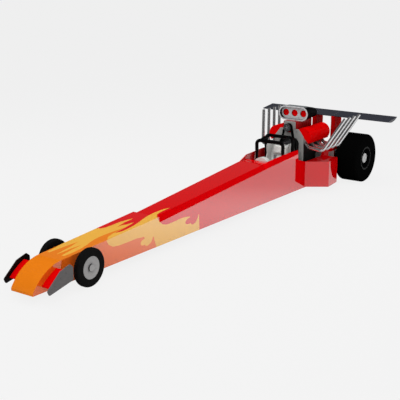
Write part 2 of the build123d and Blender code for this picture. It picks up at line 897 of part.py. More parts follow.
# Exhaust: four swept pipes each side, open at the mouth
port_distance = deck_distance + head_height / 2
port_y = port_distance * sin(bank) + deck_half * cos(bank)
port_z = crank_z + port_distance * cos(bank) - deck_half * sin(bank)
port_run = 110
first_port = 60
elbow_y = 620
elbow_z = 806
tip_back = 430
tip_y = 850
tip_z = 1353
pipe_mouth = 150
flange_wide = 44
flange_thick = 12
for side, hand in ((1, "left"), (-1, "right")):
    with BuildPart() as headers:
        for number in range(4):
            x_port = x_engine - first_port - number * bore_pitch
            start = (x_port, side * port_y, port_z)
            drop = (x_port, side * (port_y + port_run * cos(bank)), port_z - port_run * sin(bank))
            elbow = (x_port - 40, side * elbow_y, elbow_z)
            tip = (x_port - tip_back, side * tip_y, tip_z)
            with BuildLine() as run:
                FilletPolyline(start, drop, elbow, tip, radius=75)
            with BuildSketch(Plane(origin=start, z_dir=run.line % 0)):
                Circle(pipe_radius)
            sweep(path=run.line)
            with Locations(Plane(origin=tip, z_dir=run.line % 1)):
                Cylinder(pipe_radius - pipe_wall, 2 * pipe_mouth, mode=Mode.SUBTRACT)
            with Locations(Plane(origin=start, z_dir=run.line % 0)):
                Cylinder(flange_wide, flange_thick, align=(Align.CENTER, Align.CENTER, Align.MIN))
    save(headers, "headers_" + hand)

# Transmission: bell tapering down to the axle
x_snout = x_rear + 215
with BuildPart() as transmission:
    with BuildSketch(Plane.YZ.offset(x_engine_rear - plate_thickness)):
        with Locations((0, crank_z - 60)):
            Circle(190)
    with BuildSketch(Plane.YZ.offset(x_snout)):
        with Locations((0, slick_radius + 40)):
            Circle(115)
    loft(ruled=True)
save(transmission, "transmission")

# Rear axle housing with wing perches
shaft_radius = 32
slick_inner_face = slick_outer_face - slick_width
housing_end = slick_inner_face - 40
perch_top = 560
with BuildPart() as rear_axle_housing:
    bar((x_rear, -housing_end, slick_radius), (x_rear, housing_end, slick_radius), housing_radius)
    bar((x_rear, -130, slick_radius), (x_rear, 130, slick_radius), 170)
    bar((x_rear, 0, slick_radius + 40), (x_snout, 0, slick_radius + 40), 115)
    for side in (1, -1):
        with Locations((x_rear, side * pylon_y, slick_radius)):
            Box(300, 50, perch_top - slick_radius, align=(Align.CENTER, Align.CENTER, Align.MIN))
    with Locations(Plane(origin=(x_rear, 0, slick_radius), z_dir=(0, 1, 0))):
        Cylinder(shaft_radius + turn_gap, 2 * housing_end - 60, mode=Mode.SUBTRACT)
        Cylinder(shaft_radius + run_gap, 3 * housing_end, mode=Mode.SUBTRACT)
save(rear_axle_housing, "rear_axle_housing")

# Spool axle: shaft, brake discs and wheel flanges in one
disc_radius = 160
disc_thick = 14
spider_y = slick_outer_face - 170
with BuildPart() as rear_axle_shaft:
    bar((x_rear, -spider_y, slick_radius), (x_rear, spider_y, slick_radius), shaft_radius)
    for side in (1, -1):
        bar(
            (x_rear, side * (housing_end + turn_gap), slick_radius),
            (x_rear, side * (housing_end + turn_gap + disc_thick), slick_radius),
            disc_radius,
        )
        bar((x_rear, side * (spider_y - 20), slick_radius), (x_rear, side * spider_y, slick_radius), 90)
save(rear_axle_shaft, "rear_axle_shaft")

# Brake calipers astride the discs
with BuildPart() as brake_calipers:
    for side in (1, -1):
        disc_mid = side * (housing_end + turn_gap + disc_thick / 2)
        with Locations((x_rear + 130, disc_mid, slick_radius)):
            Box(90, disc_thick + 2 * turn_gap + 24, 120)
        with Locations((x_rear + 110, side * (housing_end - 16), slick_radius)):
            Box(170, 20, 60)
    for side in (1, -1):
        disc_mid = side * (housing_end + turn_gap + disc_thick / 2)
        with Locations(Plane(origin=(x_rear, disc_mid, slick_radius), z_dir=(0, 1, 0))):
            Cylinder(disc_radius + turn_gap, disc_thick + 2 * turn_gap, mode=Mode.SUBTRACT)
    with Locations(Plane(origin=(x_rear, 0, slick_radius), z_dir=(0, 1, 0))):
        Cylinder(housing_radius, 3 * housing_end, mode=Mode.SUBTRACT)
save(brake_calipers, "brake_calipers")

# Slicks on deep wheels with a holed spider
flange_radius = slick_rim_radius + 14
spider_thick = 14
cap_radius = 66
for side, hand in ((1, "left"), (-1, "right")):
    with BuildPart() as rear_rim:
        inner = slick_inner_face + 12
        outer = slick_outer_face - 6
        with BuildSketch(wheel_plane(x_rear, slick_radius)):
            with BuildLine():
                Polyline(
                    (slick_rim_radius - 10, side * inner),
                    (slick_rim_radius, side * inner),
                    (slick_rim_radius, side * (outer - 12)),
                    (flange_radius, side * (outer - 12)),
                    (flange_radius, side * outer),
                    (slick_rim_radius - 14, side * outer),
                    (slick_rim_radius - 14, side * (spider_y + 60)),
                    (cap_radius + 40, side * (spider_y + spider_thick)),
                    (cap_radius, side * (spider_y + spider_thick)),
                    (cap_radius, side * (spider_y + 90)),
                    (cap_radius - 16, side * (spider_y + 110)),
                    (0, side * (spider_y + 110)),
                    (0, side * spider_y),
                    (cap_radius + 44, side * spider_y),
                    (slick_rim_radius - 10, side * (spider_y + 40)),
                    close=True,
                )
            make_face()
        revolve(axis=wheel_axis(x_rear, slick_radius))
        with Locations(Plane(origin=(x_rear, side * (spider_y + 30), slick_radius), z_dir=(0, 1, 0))):
            with PolarLocations(146, 5):
                Cylinder(32, 120, mode=Mode.SUBTRACT)
    save(rear_rim, "rear_rim_" + hand)
    with BuildPart() as rear_tyre:
        with BuildSketch(wheel_plane(x_rear, slick_radius)):
            middle = side * (slick_outer_face - slick_width / 2)
            bead = slick_rim_radius + seat_gap
            with Locations(((bead + slick_radius) / 2, middle)):
                Rectangle(slick_radius - bead, slick_width)
            fillet(vertices().group_by(Axis.X)[-1], radius=46)
            with Locations((bead, side * slick_outer_face)):
                Rectangle(2 * (flange_radius - bead) + 1, 38, mode=Mode.SUBTRACT)
            with Locations((bead, middle)):
                Rectangle(
                    slick_radius - bead - slick_tread, slick_width - 3 * slick_tread,
                    align=(Align.MIN, Align.CENTER), mode=Mode.SUBTRACT,
                )
        revolve(axis=wheel_axis(x_rear, slick_radius))
    save(rear_tyre, "rear_tyre_" + hand)

# Rear wing on two pylons
wing_thick = 44
x_lead = x_rear + wing_lead_ahead
with BuildPart() as rear_wing:
    with BuildSketch(Plane.XZ):
        with BuildLine():
            x_trail = x_lead - wing_chord
            trail_z = wing_lead_z + wing_rise
            x_mid = x_lead - 0.45 * wing_chord
            mid_z = wing_lead_z + 0.45 * wing_rise
            ThreePointArc((x_lead, wing_lead_z + 8), (x_mid, mid_z + 4), (x_trail, trail_z))
            Line((x_trail, trail_z), (x_trail, trail_z - 8))
            ThreePointArc((x_trail, trail_z - 8), (x_mid, mid_z - wing_thick), (x_lead, wing_lead_z - 8))
            ThreePointArc((x_lead, wing_lead_z - 8), (x_lead + 8, wing_lead_z), (x_lead, wing_lead_z + 8))
        make_face()
    extrude(amount=wing_half_span, both=True)
save(rear_wing, "rear_wing")

with BuildPart() as wing_pylons:
    with BuildSketch(Plane.XZ.offset(pylon_y - pylon_thickness / 2)):
        with BuildLine():
            Polyline(
                (x_rear + 150, perch_top),
                (x_lead - 40, wing_lead_z - 120),
                (x_lead - 30, wing_lead_z - 4),
                (x_trail + 30, trail_z - 8),
                (x_trail + 10, wing_lead_z - 120),
                (x_rear - 150, perch_top),
                close=True,
            )
        make_face()
    extrude(amount=pylon_thickness)
    mirror(about=Plane.XZ)
    add(rear_wing.part, mode=Mode.SUBTRACT)
save(wing_pylons, "wing_pylons")
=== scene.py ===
import json
import bmesh
import bpy
import numpy as np
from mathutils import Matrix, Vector

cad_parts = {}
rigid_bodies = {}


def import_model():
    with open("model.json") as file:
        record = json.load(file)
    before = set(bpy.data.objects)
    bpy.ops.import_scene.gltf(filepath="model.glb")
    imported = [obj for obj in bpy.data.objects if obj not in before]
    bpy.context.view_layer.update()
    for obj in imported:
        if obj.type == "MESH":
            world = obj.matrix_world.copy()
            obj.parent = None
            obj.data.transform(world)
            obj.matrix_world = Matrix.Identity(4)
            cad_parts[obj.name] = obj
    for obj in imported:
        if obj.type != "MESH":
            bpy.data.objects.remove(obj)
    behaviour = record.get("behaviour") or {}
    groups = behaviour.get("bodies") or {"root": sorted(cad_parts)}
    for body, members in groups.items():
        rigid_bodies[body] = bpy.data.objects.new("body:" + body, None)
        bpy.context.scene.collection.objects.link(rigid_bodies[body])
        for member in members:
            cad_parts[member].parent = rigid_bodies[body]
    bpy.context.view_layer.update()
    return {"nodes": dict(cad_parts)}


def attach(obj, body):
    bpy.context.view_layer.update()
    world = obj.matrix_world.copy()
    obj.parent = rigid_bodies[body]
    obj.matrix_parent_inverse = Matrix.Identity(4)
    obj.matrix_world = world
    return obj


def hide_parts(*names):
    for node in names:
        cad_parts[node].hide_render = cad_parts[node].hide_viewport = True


for leftover in list(bpy.data.objects):
    bpy.data.objects.remove(leftover)
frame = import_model()
nodes = frame["nodes"]
print("frame loaded with", len(nodes), "nodes")


class Wire:
    # a shader socket that can be used in sums, each sum adding its Math node
    def __init__(self, tree, socket=None):
        self.tree = tree
        self.socket = socket

    def node(self, kind, settings=None, feeds=None, out=0):
        made = self.tree.nodes.new("ShaderNode" + kind)
        for name, value in (settings or {}).items():
            if name == "stops":
                ramp = made.color_ramp.elements
                while len(ramp) < len(value):
                    ramp.new(1.0)
                for element, (place, colour) in zip(ramp, value):
                    element.position = place
                    element.color = colour
            elif name == "interpolation":
                made.color_ramp.interpolation = value
            else:
                setattr(made, name, value)
        for name, value in (feeds or {}).items():
            if isinstance(value, Wire):
                self.tree.links.new(value.socket, made.inputs[name])
            else:
                made.inputs[name].default_value = value
        return Wire(self.tree, made.outputs[out] if len(made.outputs) else None)

    def math(self, operation, *values):
        return self.node("Math", {"operation": operation}, dict(enumerate(values)))

    def __add__(self, other):
        return self.math("ADD", self, other)

    def __sub__(self, other):
        return self.math("SUBTRACT", self, other)

    def __rsub__(self, other):
        return self.math("SUBTRACT", other, self)

    def __mul__(self, other):
        return self.math("MULTIPLY", self, other)

    def __truediv__(self, other):
        return self.math("DIVIDE", self, other)

    def __pow__(self, other):
        return self.math("POWER", self, other)

    def __gt__(self, other):
        return self.math("GREATER_THAN", self, other)

    def __lt__(self, other):
        return self.math("LESS_THAN", self, other)

    def __abs__(self):
        return self.math("ABSOLUTE", self)

    __radd__ = __add__
    __rmul__ = __mul__

    def sine(self):
        return self.math("SINE", self)

    def either(self, other):
        return self.math("MAXIMUM", self, other)

    def unit(self):
        return self.node("Clamp", None, {0: self})

    def parts(self):
        # the three numbers of a place or a direction
        return [self.node("SeparateXYZ", None, {0: self}, axis) for axis in "XYZ"]

    def tint(self, first, second):
        # this value mixes from the first colour to the second
        return self.node("Mix", {"data_type": "RGBA"}, {0: self, 6: first, 7: second}, out=2)


class Finish:
    # one procedural material: fixed numbers go on the shader, varying ones are linked with feed
    def __init__(self, name, **fixed):
        self.material = bpy.data.materials.new(name)
        self.material.use_nodes = True
        tree = self.material.node_tree
        self.shader = tree.nodes["Principled BSDF"]
        for key, value in fixed.items():
            self.shader.inputs[key.replace("_", " ")].default_value = value
        self.wire = Wire(tree)
        self.place = self.wire.node("TexCoord", out="Object")
        self.x, self.y, self.z = self.place.parts()
        self.nx, self.ny, self.nz = self.wire.node("TexCoord", out="Normal").parts()

    def radius(self, centre):
        # distance from an axle that runs across the car
        return ((self.x - centre[0]) ** 2.0 + (self.z - centre[1]) ** 2.0) ** 0.5

    def noise(self, scale, detail=3.0, stretch=None):
        where = self.place
        if stretch:
            where = self.wire.node("Mapping", None, {"Vector": self.place, "Scale": stretch})
        return self.wire.node("TexNoise", None, {"Vector": where, "Scale": scale, "Detail": detail})

    def feed(self, **varying):
        for key, value in varying.items():
            self.wire.tree.links.new(value.socket, self.shader.inputs[key.replace("_", " ")])

    def bump(self, height, strength=0.3, distance=0.002):
        made = self.wire.node("Bump", None, {"Strength": strength, "Distance": distance, "Height": height})
        self.feed(Normal=made)


def shade(colour, amount):
    return tuple(min(1.0, c * amount) for c in colour[:3]) + (1.0,)


# flame licks: stations along the body, each an x, a low edge and a high edge;
# tops count across the car, sides count down from the top edge
flames = {
    "red": (0.62, 0.0004, 0.002, 1),
    "yellow": (0.78, 0.415, 0.05, 1),
    "orange": (0.74, 0.195, 0.008, 1),
    # a darker, redder copy of the orange, painted as shade on the sides
    "orangeSideShade": (0.74, 0.125, 0.008, 1),
    "edge": 0.004,  # softness of a painted line
    "lowest": -0.4,  # a ramp holds an edge as a share of the span above the lowest
    "span": 1.4,
    "yellowTop": [
        ((2.75, -0.3, 0.02), (2.66, -0.28, 0.02), (2.6, -0.165, 0.02), (2.45, -0.125, 0.0),
         (2.3, -0.12, -0.03), (2.2, -0.1, -0.04), (2.1, -0.075, -0.04), (2.03, -0.05, -0.05)),
        ((2.75, 0.0, 0.135), (2.5, 0.0, 0.118), (2.36, 0.0, 0.105), (2.3, 0.035, 0.095), (2.22, 0.055, 0.085),
         (2.15, 0.07, 0.07)),
        ((2.95, 0.02, 0.3), (2.7, 0.1, 0.3), (2.56, 0.16, 0.3), (2.4, 0.165, 0.3), (2.25, 0.15, 0.3),
         (2.1, 0.12, 0.3), (1.95, 0.085, 0.3), (1.84, 0.065, 0.25), (1.75, 0.06, 0.165), (1.65, 0.065, 0.135),
         (1.5, 0.09, 0.135), (1.41, 0.13, 0.138)),
    ],
    "yellowSide": [
        ((1.9, -0.1, 0.9), (1.84, 0.0, 0.9), (1.8, 0.06, 0.9), (1.74, 0.12, 0.9), (1.65, 0.16, 0.9),
         (1.5, 0.178, 0.9), (1.3, 0.182, 0.9), (1.18, 0.195, 0.9), (1.1, 0.215, 0.9), (1.055, 0.24, 0.9),
         (1.04, 0.345, 0.9), (0.95, 0.37, 0.9), (0.9, 0.345, 0.9), (0.86, 0.3, 0.9), (0.835, 0.262, 0.9),
         (0.825, 0.4, 0.9), (0.82, 0.6, 0.9)),
    ],
    "orangeTop": [
        ((3.7, 0.12, 0.3), (3.5, 0.14, 0.3), (3.3, 0.125, 0.3), (3.15, 0.09, 0.3), (3.0, 0.055, 0.3),
         (2.93, 0.048, 0.25), (2.85, 0.045, 0.17), (2.7, 0.055, 0.125), (2.55, 0.075, 0.115),
         (2.38, 0.1, 0.1)),
        ((3.7, 0.0, 0.09), (3.5, 0.015, 0.07), (3.4, 0.02, 0.06), (3.3, 0.035, 0.055), (3.2, 0.045, 0.045)),
        ((3.75, -0.14, 0.01), (3.5, -0.12, -0.02), (3.35, -0.105, -0.035), (3.25, -0.09, -0.06),
         (3.12, -0.072, -0.072)),
        ((3.75, -0.3, -0.17), (3.6, -0.3, -0.175), (3.48, -0.3, -0.19), (3.35, -0.3, -0.21)),
    ],
    "orangeSide": [
        ((3.0, -0.1, 0.9), (2.94, -0.02, 0.9), (2.9, 0.06, 0.9), (2.82, 0.12, 0.9), (2.7, 0.148, 0.9),
         (2.5, 0.16, 0.9), (2.3, 0.168, 0.9), (2.2, 0.185, 0.9), (2.135, 0.205, 0.9), (2.12, 0.33, 0.9),
         (2.02, 0.335, 0.9), (1.97, 0.3, 0.9), (1.935, 0.25, 0.9), (1.91, 0.32, 0.9), (1.88, 0.42, 0.9),
         (1.86, 0.6, 0.9)),
    ],
    "curls": {  # x, distance down the side and both half sizes of each bite
        "yellowSide": (1.07, 0.287, 0.11, 0.05),
        "orangeSide": (2.15, 0.272, 0.075, 0.045),
    },
    "fullYellow": 2.7,  # no red on the top ahead of this x, no yellow ahead of the next
    "fullOrange": 3.66,
    "sideYellow": 1.87,  # no red on the sides ahead of this x
    "noseTop": (0.447, 3.7985, 0.051),  # height of the top edge at an x, and its climb to the rear
    "mainTop": (0.549, 1.7985, 0.07875),
}


def band(finish, across, stations):
    # inside between two edges that are read off a ramp along the body, and ahead of the last station
    first, last = stations[0][0], stations[-1][0]
    lowest, span, edge = flames["lowest"], flames["span"], flames["edge"]
    along = (first - finish.x) / (first - last)
    stops = []
    for x, low, high in stations:
        stops.append(((first - x) / (first - last), ((low - lowest) / span, (high - lowest) / span, 0, 1)))
    ramp = finish.wire.node("ValToRGB", {"stops": stops, "interpolation": "CARDINAL"}, {0: along})
    low = finish.wire.node("SeparateColor", None, {0: ramp}, "Red") * span + lowest
    high = finish.wire.node("SeparateColor", None, {0: ramp}, "Green") * span + lowest
    inside = ((across - low) / edge).unit() * ((high - across) / edge).unit()
    return inside * (finish.x > last)


def curl(finish, down, name):
    # an ellipse bitten out behind a hooked tip
    cx, cy, rx, ry = flames["curls"][name]
    reach = ((finish.x - cx) / rx) ** 2.0 + ((down - cy) / ry) ** 2.0
    return ((1.0 - reach) * 8.0).unit()


def licks(finish, across, name):
    # all the bands of one name together
    masks = [band(finish, across, stations) for stations in flames[name]]
    total = masks[0]
    for mask in masks[1:]:
        total = total.either(mask)
    return total


def glossPaint(name, colour, flamed=False, coat=1.0, satinAbove=None):
    # clear coat over colour, fine flake, orange peel and road dust along the bottom
    finish = Finish(name, Coat_Weight=coat, Coat_Roughness=0.03, Coat_IOR=2.2, Specular_IOR_Level=0.0)
    base = colour
    if flamed:
        level, start, slope = flames["noseTop"]
        noseTop = level + (start - finish.x) * slope
        level, start, slope = flames["mainTop"]
        mainTop = level + (start - finish.x) * slope
        down = noseTop.either(mainTop) - finish.z
        side = abs(finish.ny) > 0.6
        yellowTop = licks(finish, finish.y, "yellowTop").either(finish.x > flames["fullYellow"])
        yellowSide = licks(finish, down, "yellowSide").either(finish.x > flames["sideYellow"])
        yellowSide = yellowSide * (1.0 - curl(finish, down, "yellowSide"))
        orangeTop = licks(finish, finish.y, "orangeTop").either(finish.x > flames["fullOrange"])
        orangeSide = licks(finish, down, "orangeSide") * (1.0 - curl(finish, down, "orangeSide"))
        yellow = yellowTop * (1.0 - side) + yellowSide * side
        orange = orangeTop * (1.0 - side) + orangeSide * side
        base = yellow.tint(base, flames["yellow"])
        base = orange.tint(base, flames["orange"])
        # painted shade: orange on the sides takes the darker, redder copy of the flame orange
        base = (orange * side).tint(base, flames["orangeSideShade"])
    flake = finish.noise(900.0, 1.0)
    base = (flake * 0.12).unit().tint(base, shade(colour, 0.55))
    dustTop = 0.2  # height that the dust reaches
    dust = ((dustTop - finish.z) * 4.0).unit() * finish.noise(14.0) * 0.18
    base = dust.tint(base, (0.35, 0.27, 0.2, 1))
    finish.feed(Base_Color=base, Roughness=0.28 + finish.noise(40.0) * 0.12 + dust)
    if satinAbove:  # no clear coat on the outside above a line that climbs to the rear
        start, level, climb = satinAbove
        above = (finish.z - level - (start - finish.x) * climb) * 120.0
        finish.feed(Coat_Weight=1.0 - above.unit() * (finish.ny * finish.y > 0.0))
    finish.bump(finish.noise(260.0, 2.0), 0.05, 0.0006)
    return finish.material


def rubber(name, centre, sheen=0.003, pale=1.0):
    # black rubber with scuffs, and fine rings about a centre
    finish = Finish(name, Specular_IOR_Level=sheen)
    scuff = finish.noise(60.0, 5.0)
    worn = shade((0.003, 0.0029, 0.0028), pale)
    base = (scuff * 0.8).unit().tint(shade((0.0005, 0.0005, 0.0006), pale), worn)
    finish.feed(Base_Color=base, Roughness=0.6 + scuff * 0.25)
    finish.bump((finish.radius(centre) * 420.0).sine() * 0.3 + scuff, 0.15, 0.002)
    return finish.material


def castMetal(name, colour, metallic=0.6, rough=0.45, grain=180.0, **more):
    # sand-cast or rolled metal with a fine grain
    finish = Finish(name, Metallic=metallic, **more)
    grainNoise = finish.noise(grain, 4.0)
    patches = finish.noise(9.0, 2.0)
    base = (grainNoise * 0.5 + patches * 0.5).unit().tint(shade(colour, 0.7), shade(colour, 1.25))
    finish.feed(Base_Color=base, Roughness=rough + (grainNoise - 0.5) * 0.25)
    finish.bump(grainNoise, 0.18, 0.001)
    return finish.material


def brushed(name, colour, stretch, metallic=0.6, rough=0.35):
    # rolled plate, brushed along one direction
    finish = Finish(name, Metallic=metallic)
    streak = finish.noise(90.0, 4.0, stretch)
    base = streak.tint(shade(colour, 0.75), shade(colour, 1.2))
    finish.feed(Base_Color=base, Roughness=rough + streak * 0.2)
    finish.bump(streak, 0.08, 0.0005)
    return finish.material


def greyWithPaintedShadeInside(name, colour):
    # grey plate outside, and a near-black painted shade where it faces the middle of the car
    finish = Finish(name, Specular_IOR_Level=0.1)
    # painted shade: faces turned to the middle of the car are coloured near black
    inner = finish.ny * finish.y < 0.0
    streak = finish.noise(90.0, 4.0, (0.08, 1.0, 1.0))
    grey = streak.tint(shade(colour, 0.85), shade(colour, 1.15))
    finish.feed(Base_Color=inner.tint(grey, (0.003, 0.002, 0.002, 1)), Roughness=0.45 + streak * 0.2)
    finish.bump(streak, 0.05, 0.0005)
    return finish.material


def chrome(name):
    # bright pipe, blued and straw coloured near the ports
    finish = Finish(name, Metallic=0.9)
    heatEnd = 0.52  # distance across where the colour has gone
    heat = ((heatEnd - abs(finish.y)) * 5.0).unit()
    wave = finish.noise(25.0, 2.0)
    tinted = wave.tint((0.5, 0.33, 0.16, 1), (0.25, 0.27, 0.42, 1))
    base = (heat * 0.55).tint((0.93, 0.93, 0.94, 1), tinted)
    finish.feed(Base_Color=base, Roughness=0.06 + wave * 0.07 + heat * 0.15)
    finish.bump(finish.noise(120.0), 0.02, 0.0005)
    return finish.material


def wovenSlate(name):
    # dark slate wing skin with a faint twill under lacquer
    finish = Finish(name, Coat_Weight=0.35, Coat_Roughness=0.08, Specular_IOR_Level=0.2)
    twill = ((finish.x + finish.y) * 700.0).sine() * ((finish.x - finish.y) * 700.0).sine()
    base = (twill * 0.5 + 0.5).tint((0.02, 0.021, 0.03, 1), (0.034, 0.036, 0.048, 1))
    finish.feed(Base_Color=base, Roughness=0.32 + finish.noise(30.0) * 0.15)
    finish.bump(twill, 0.04, 0.0004)
    return finish.material


def tubeBlack(name, rough=0.3):
    # black enamel with a fine peel
    finish = Finish(name, Coat_Weight=0.1, Coat_Roughness=0.1, Specular_IOR_Level=0.08)
    peel = finish.noise(320.0, 2.0)
    base = peel.tint((0.0006, 0.0006, 0.0008, 1), (0.0022, 0.0022, 0.0026, 1))
    finish.feed(Base_Color=base, Roughness=rough + peel * 0.12)
    finish.bump(peel, 0.06, 0.0006)
    return finish.material


# injector hat: x of the lip's back and of the throttle plate, and the height of its middle
hat = {"lipBack": -2.495, "plateBack": -2.545, "middle": 1.429}


def hatFinish(name):
    # silver lip and throttle plate, and a satin body with painted light: grey on the top, near-black painted
    # shade on the sides and on faces turned into the mouth
    finish = Finish(name, Specular_IOR_Level=0.004)
    front = ((finish.x - hat["lipBack"]) * 90.0).unit()
    plate = ((finish.nx - 0.7) * 8.0).unit() * ((finish.x - hat["plateBack"]) * 400.0).unit()
    grain = finish.noise(160.0, 3.0)
    # painted light: faces turned up take the grey, and the sides take a near-black painted shade
    paintedLitTop = (finish.nz * 6.0 - 5.0).unit()
    body = paintedLitTop.tint((0.002, 0.002, 0.0024, 1), (0.125, 0.135, 0.14, 1))
    silver = grain.tint((0.42, 0.42, 0.43, 1), (0.56, 0.56, 0.57, 1))
    # painted shade: faces turned in towards the mouth's middle lose the silver and take the body's colour
    # instead
    paintedShadeInward = (finish.z - hat["middle"]) * finish.nz + finish.y * finish.ny < -0.01
    bright = front.either(plate) * (1.0 - paintedShadeInward)
    finish.feed(Base_Color=bright.tint(body, silver), Metallic=bright * 0.15, Roughness=0.3 + grain * 0.2)
    finish.bump(grain, 0.06, 0.0006)
    return finish.material


def hubWheel(name, centre, outerShade, coat, hubRadius=-1.0, hubShade=(0.0, 0.0, 0.0)):
    # finely turned metal, in another shade inside the hub's radius
    finish = Finish(name, Coat_Weight=coat, Coat_Roughness=0.1, Specular_IOR_Level=0.1)
    radius = finish.radius(centre)
    hub = ((hubRadius - radius) * 2000.0).unit()
    grain = finish.noise(120.0)
    # on the hub caps the colour outside the face's radius is painted shade on their side walls
    outer = grain.tint(shade(outerShade, 0.8), shade(outerShade, 1.2))
    inner = grain.tint(shade(hubShade, 0.85), shade(hubShade, 1.15))
    finish.feed(Base_Color=hub.tint(outer, inner), Roughness=0.4 + grain * 0.15)
    finish.bump((radius * 900.0).sine(), 0.04, 0.0005)
    return finish.material


def fabric(name, colour, pitch):
    # plain weave: crossed sine ribs over a soft mottle
    finish = Finish(name, Specular_IOR_Level=0.15, Sheen_Weight=0.15)
    weave = (finish.y * pitch).sine() * ((finish.z + finish.x) * pitch).sine()
    mottle = finish.noise(22.0, 4.0)
    base = (weave * 0.2 + mottle * 0.7).unit().tint(shade(colour, 0.8), shade(colour, 1.15))
    finish.feed(Base_Color=base, Roughness=0.72 + mottle * 0.15)
    finish.bump(weave, 0.25, 0.0006)
    return finish.material


wheelPlaces = {"front": (3.3985, 0.265), "rear": (-3.8415, 0.457)}  # x and height of each axle
capFaces = {"front": 0.0485, "rear": 0.0915}  # radius of the pale face on each hub cap
beltMiddle = (-2.29, 0.9)
tubSatin = (-1.0715, 0.7, 0.0605)  # an x, the height of the satin's lower edge there, and its climb
red = flames["red"]
# the hub caps' side walls are near black, a painted shade that shows as a dark crescent beside each hub
discGrey, capWallShade, capPale = (0.29, 0.285, 0.285), (0.002, 0.002, 0.002), (0.5, 0.5, 0.5)
finishes = {
    "flamePaint": glossPaint("flamePaint", red, True),
    "redPaint": glossPaint("redPaint", red),
    "tubPaint": glossPaint("tubPaint", red, satinAbove=tubSatin),
    "engineRed": glossPaint("engineRed", (0.6, 0.0005, 0.001, 1), coat=0.02),
    "deepRed": castMetal("deepRed", (0.26, 0.001, 0.002, 1), 0.0, 0.5, Specular_IOR_Level=0.1),
    "pylonRed": castMetal("pylonRed", (0.4, 0.0008, 0.001, 1), 0.0, 0.5, Specular_IOR_Level=0.01),
    "flapRed": glossPaint("flapRed", (0.62, 0.0005, 0.001, 1), coat=0.02),
    "slickRubber": rubber("slickRubber", wheelPlaces["rear"]),
    "frontRubber": rubber("frontRubber", wheelPlaces["front"], 0.05, 3.0),
    "frontDisc": hubWheel("frontDisc", wheelPlaces["front"], discGrey, 0.05),
    "frontCap": hubWheel("frontCap", wheelPlaces["front"], capWallShade, 0.0, capFaces["front"], discGrey),
    "rearWheel": hubWheel("rearWheel", wheelPlaces["rear"], (0.003, 0.003, 0.0035), 0.1),
    "rearCap": hubWheel("rearCap", wheelPlaces["rear"], capWallShade, 0.0, capFaces["rear"], capPale),
    "castAlloy": castMetal("castAlloy", (0.22, 0.22, 0.215, 1), 0.2),
    "castDark": castMetal("castDark", (0.012, 0.012, 0.012, 1), 0.1, 0.5, Specular_IOR_Level=0.1),
    "darkSteel": castMetal("darkSteel", (0.1, 0.1, 0.105, 1), 0.8, 0.4),
    "plateGrey": brushed("plateGrey", (0.3, 0.3, 0.29, 1), (1.0, 1.0, 0.08), 0.15),
    "endplateGrey": greyWithPaintedShadeInside("endplateGrey", (0.105, 0.1, 0.1, 1)),
    "podGrey": castMetal("podGrey", (0.58, 0.59, 0.57, 1), 0.0, 0.35, 240.0),
    "boltSteel": castMetal("boltSteel", (0.3, 0.3, 0.31, 1), 0.5, 0.3, 400.0),
    "dialPale": castMetal("dialPale", (0.6, 0.6, 0.57, 1), 0.0, 0.4, 90.0),
    "padFabric": fabric("padFabric", (0.86, 0.85, 0.82, 1), 2100.0),
    "webbing": fabric("webbing", (0.16, 0.16, 0.17, 1), 3200.0),
    "chromePipe": chrome("chromePipe"),
    "slateWing": wovenSlate("slateWing"),
    "cageBlack": tubeBlack("cageBlack"),
    "gripBlack": tubeBlack("gripBlack", 0.55),
    "hatFinish": hatFinish("hatFinish"),
    "driveAlloy": castMetal("driveAlloy", (0.07, 0.07, 0.075, 1), 0.4, 0.35, 260.0),
    "beltRubber": rubber("beltRubber", beltMiddle),
}
wears = {
    "flamePaint": ("body_nose", "body_main", "belly_pan"),
    "redPaint": ("side_pod_left", "side_pod_right"),
    "tubPaint": ("cockpit_tub",),
    "engineRed": ("valve_covers", "front_wing"),
    "deepRed": ("blower_case",),
    "pylonRed": ("wing_pylons",),
    "flapRed": ("throttle_butterflies",),
    "slickRubber": ("rear_tyre_left", "rear_tyre_right"),
    "frontRubber": ("front_tyre_left", "front_tyre_right"),
    "frontDisc": ("front_rim_left", "front_rim_right"),
    "rearWheel": ("rear_rim_left", "rear_rim_right"),
    "castAlloy": ("cylinder_heads", "intake_manifold"),
    "castDark": ("engine_block", "transmission"),
    "darkSteel": ("front_axle", "knuckle_left", "knuckle_right", "tie_rod", "rear_axle_housing",
                  "rear_axle_shaft", "brake_calipers", "frame_rails"),
    "plateGrey": ("motor_plate_front", "motor_plate_rear", "firewall", "bay_gussets", "blower_cover"),
    "podGrey": ("dash_pod",),
    "endplateGrey": ("front_wing_endplates",),
    "chromePipe": ("headers_left", "headers_right"),
    "slateWing": ("rear_wing",),
    "cageBlack": ("roll_cage",),
    "gripBlack": ("steering_wheel",),
    "hatFinish": ("injector_hat",),
    "driveAlloy": ("blower_pulleys",),
    "beltRubber": ("blower_belt",),
}
for finishName, members in wears.items():
    for member in members:
        nodes[member].data.materials.clear()
        nodes[member].data.materials.append(finishes[finishName])
print("finishes on", sum(len(members) for members in wears.values()), "nodes")


hands = (("Left", 1), ("Right", -1))


def addPiece(name, points, faces, finish, body, smooth=True):
    # a mesh with its place in its points, riding on a body
    mesh = bpy.data.meshes.new(name)
    mesh.from_pydata(np.asarray(points).tolist(), [], faces)
    mesh.polygons.foreach_set("use_smooth", np.full(len(mesh.polygons), smooth))
    mesh.materials.append(finishes[finish])
    piece = bpy.data.objects.new(name, mesh)
    bpy.context.scene.collection.objects.link(piece)
    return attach(piece, body)


def addModifier(piece, kind, **settings):
    made = piece.modifiers.new(kind.lower(), kind)
    for key, value in settings.items():
        setattr(made, key, value)
    return made


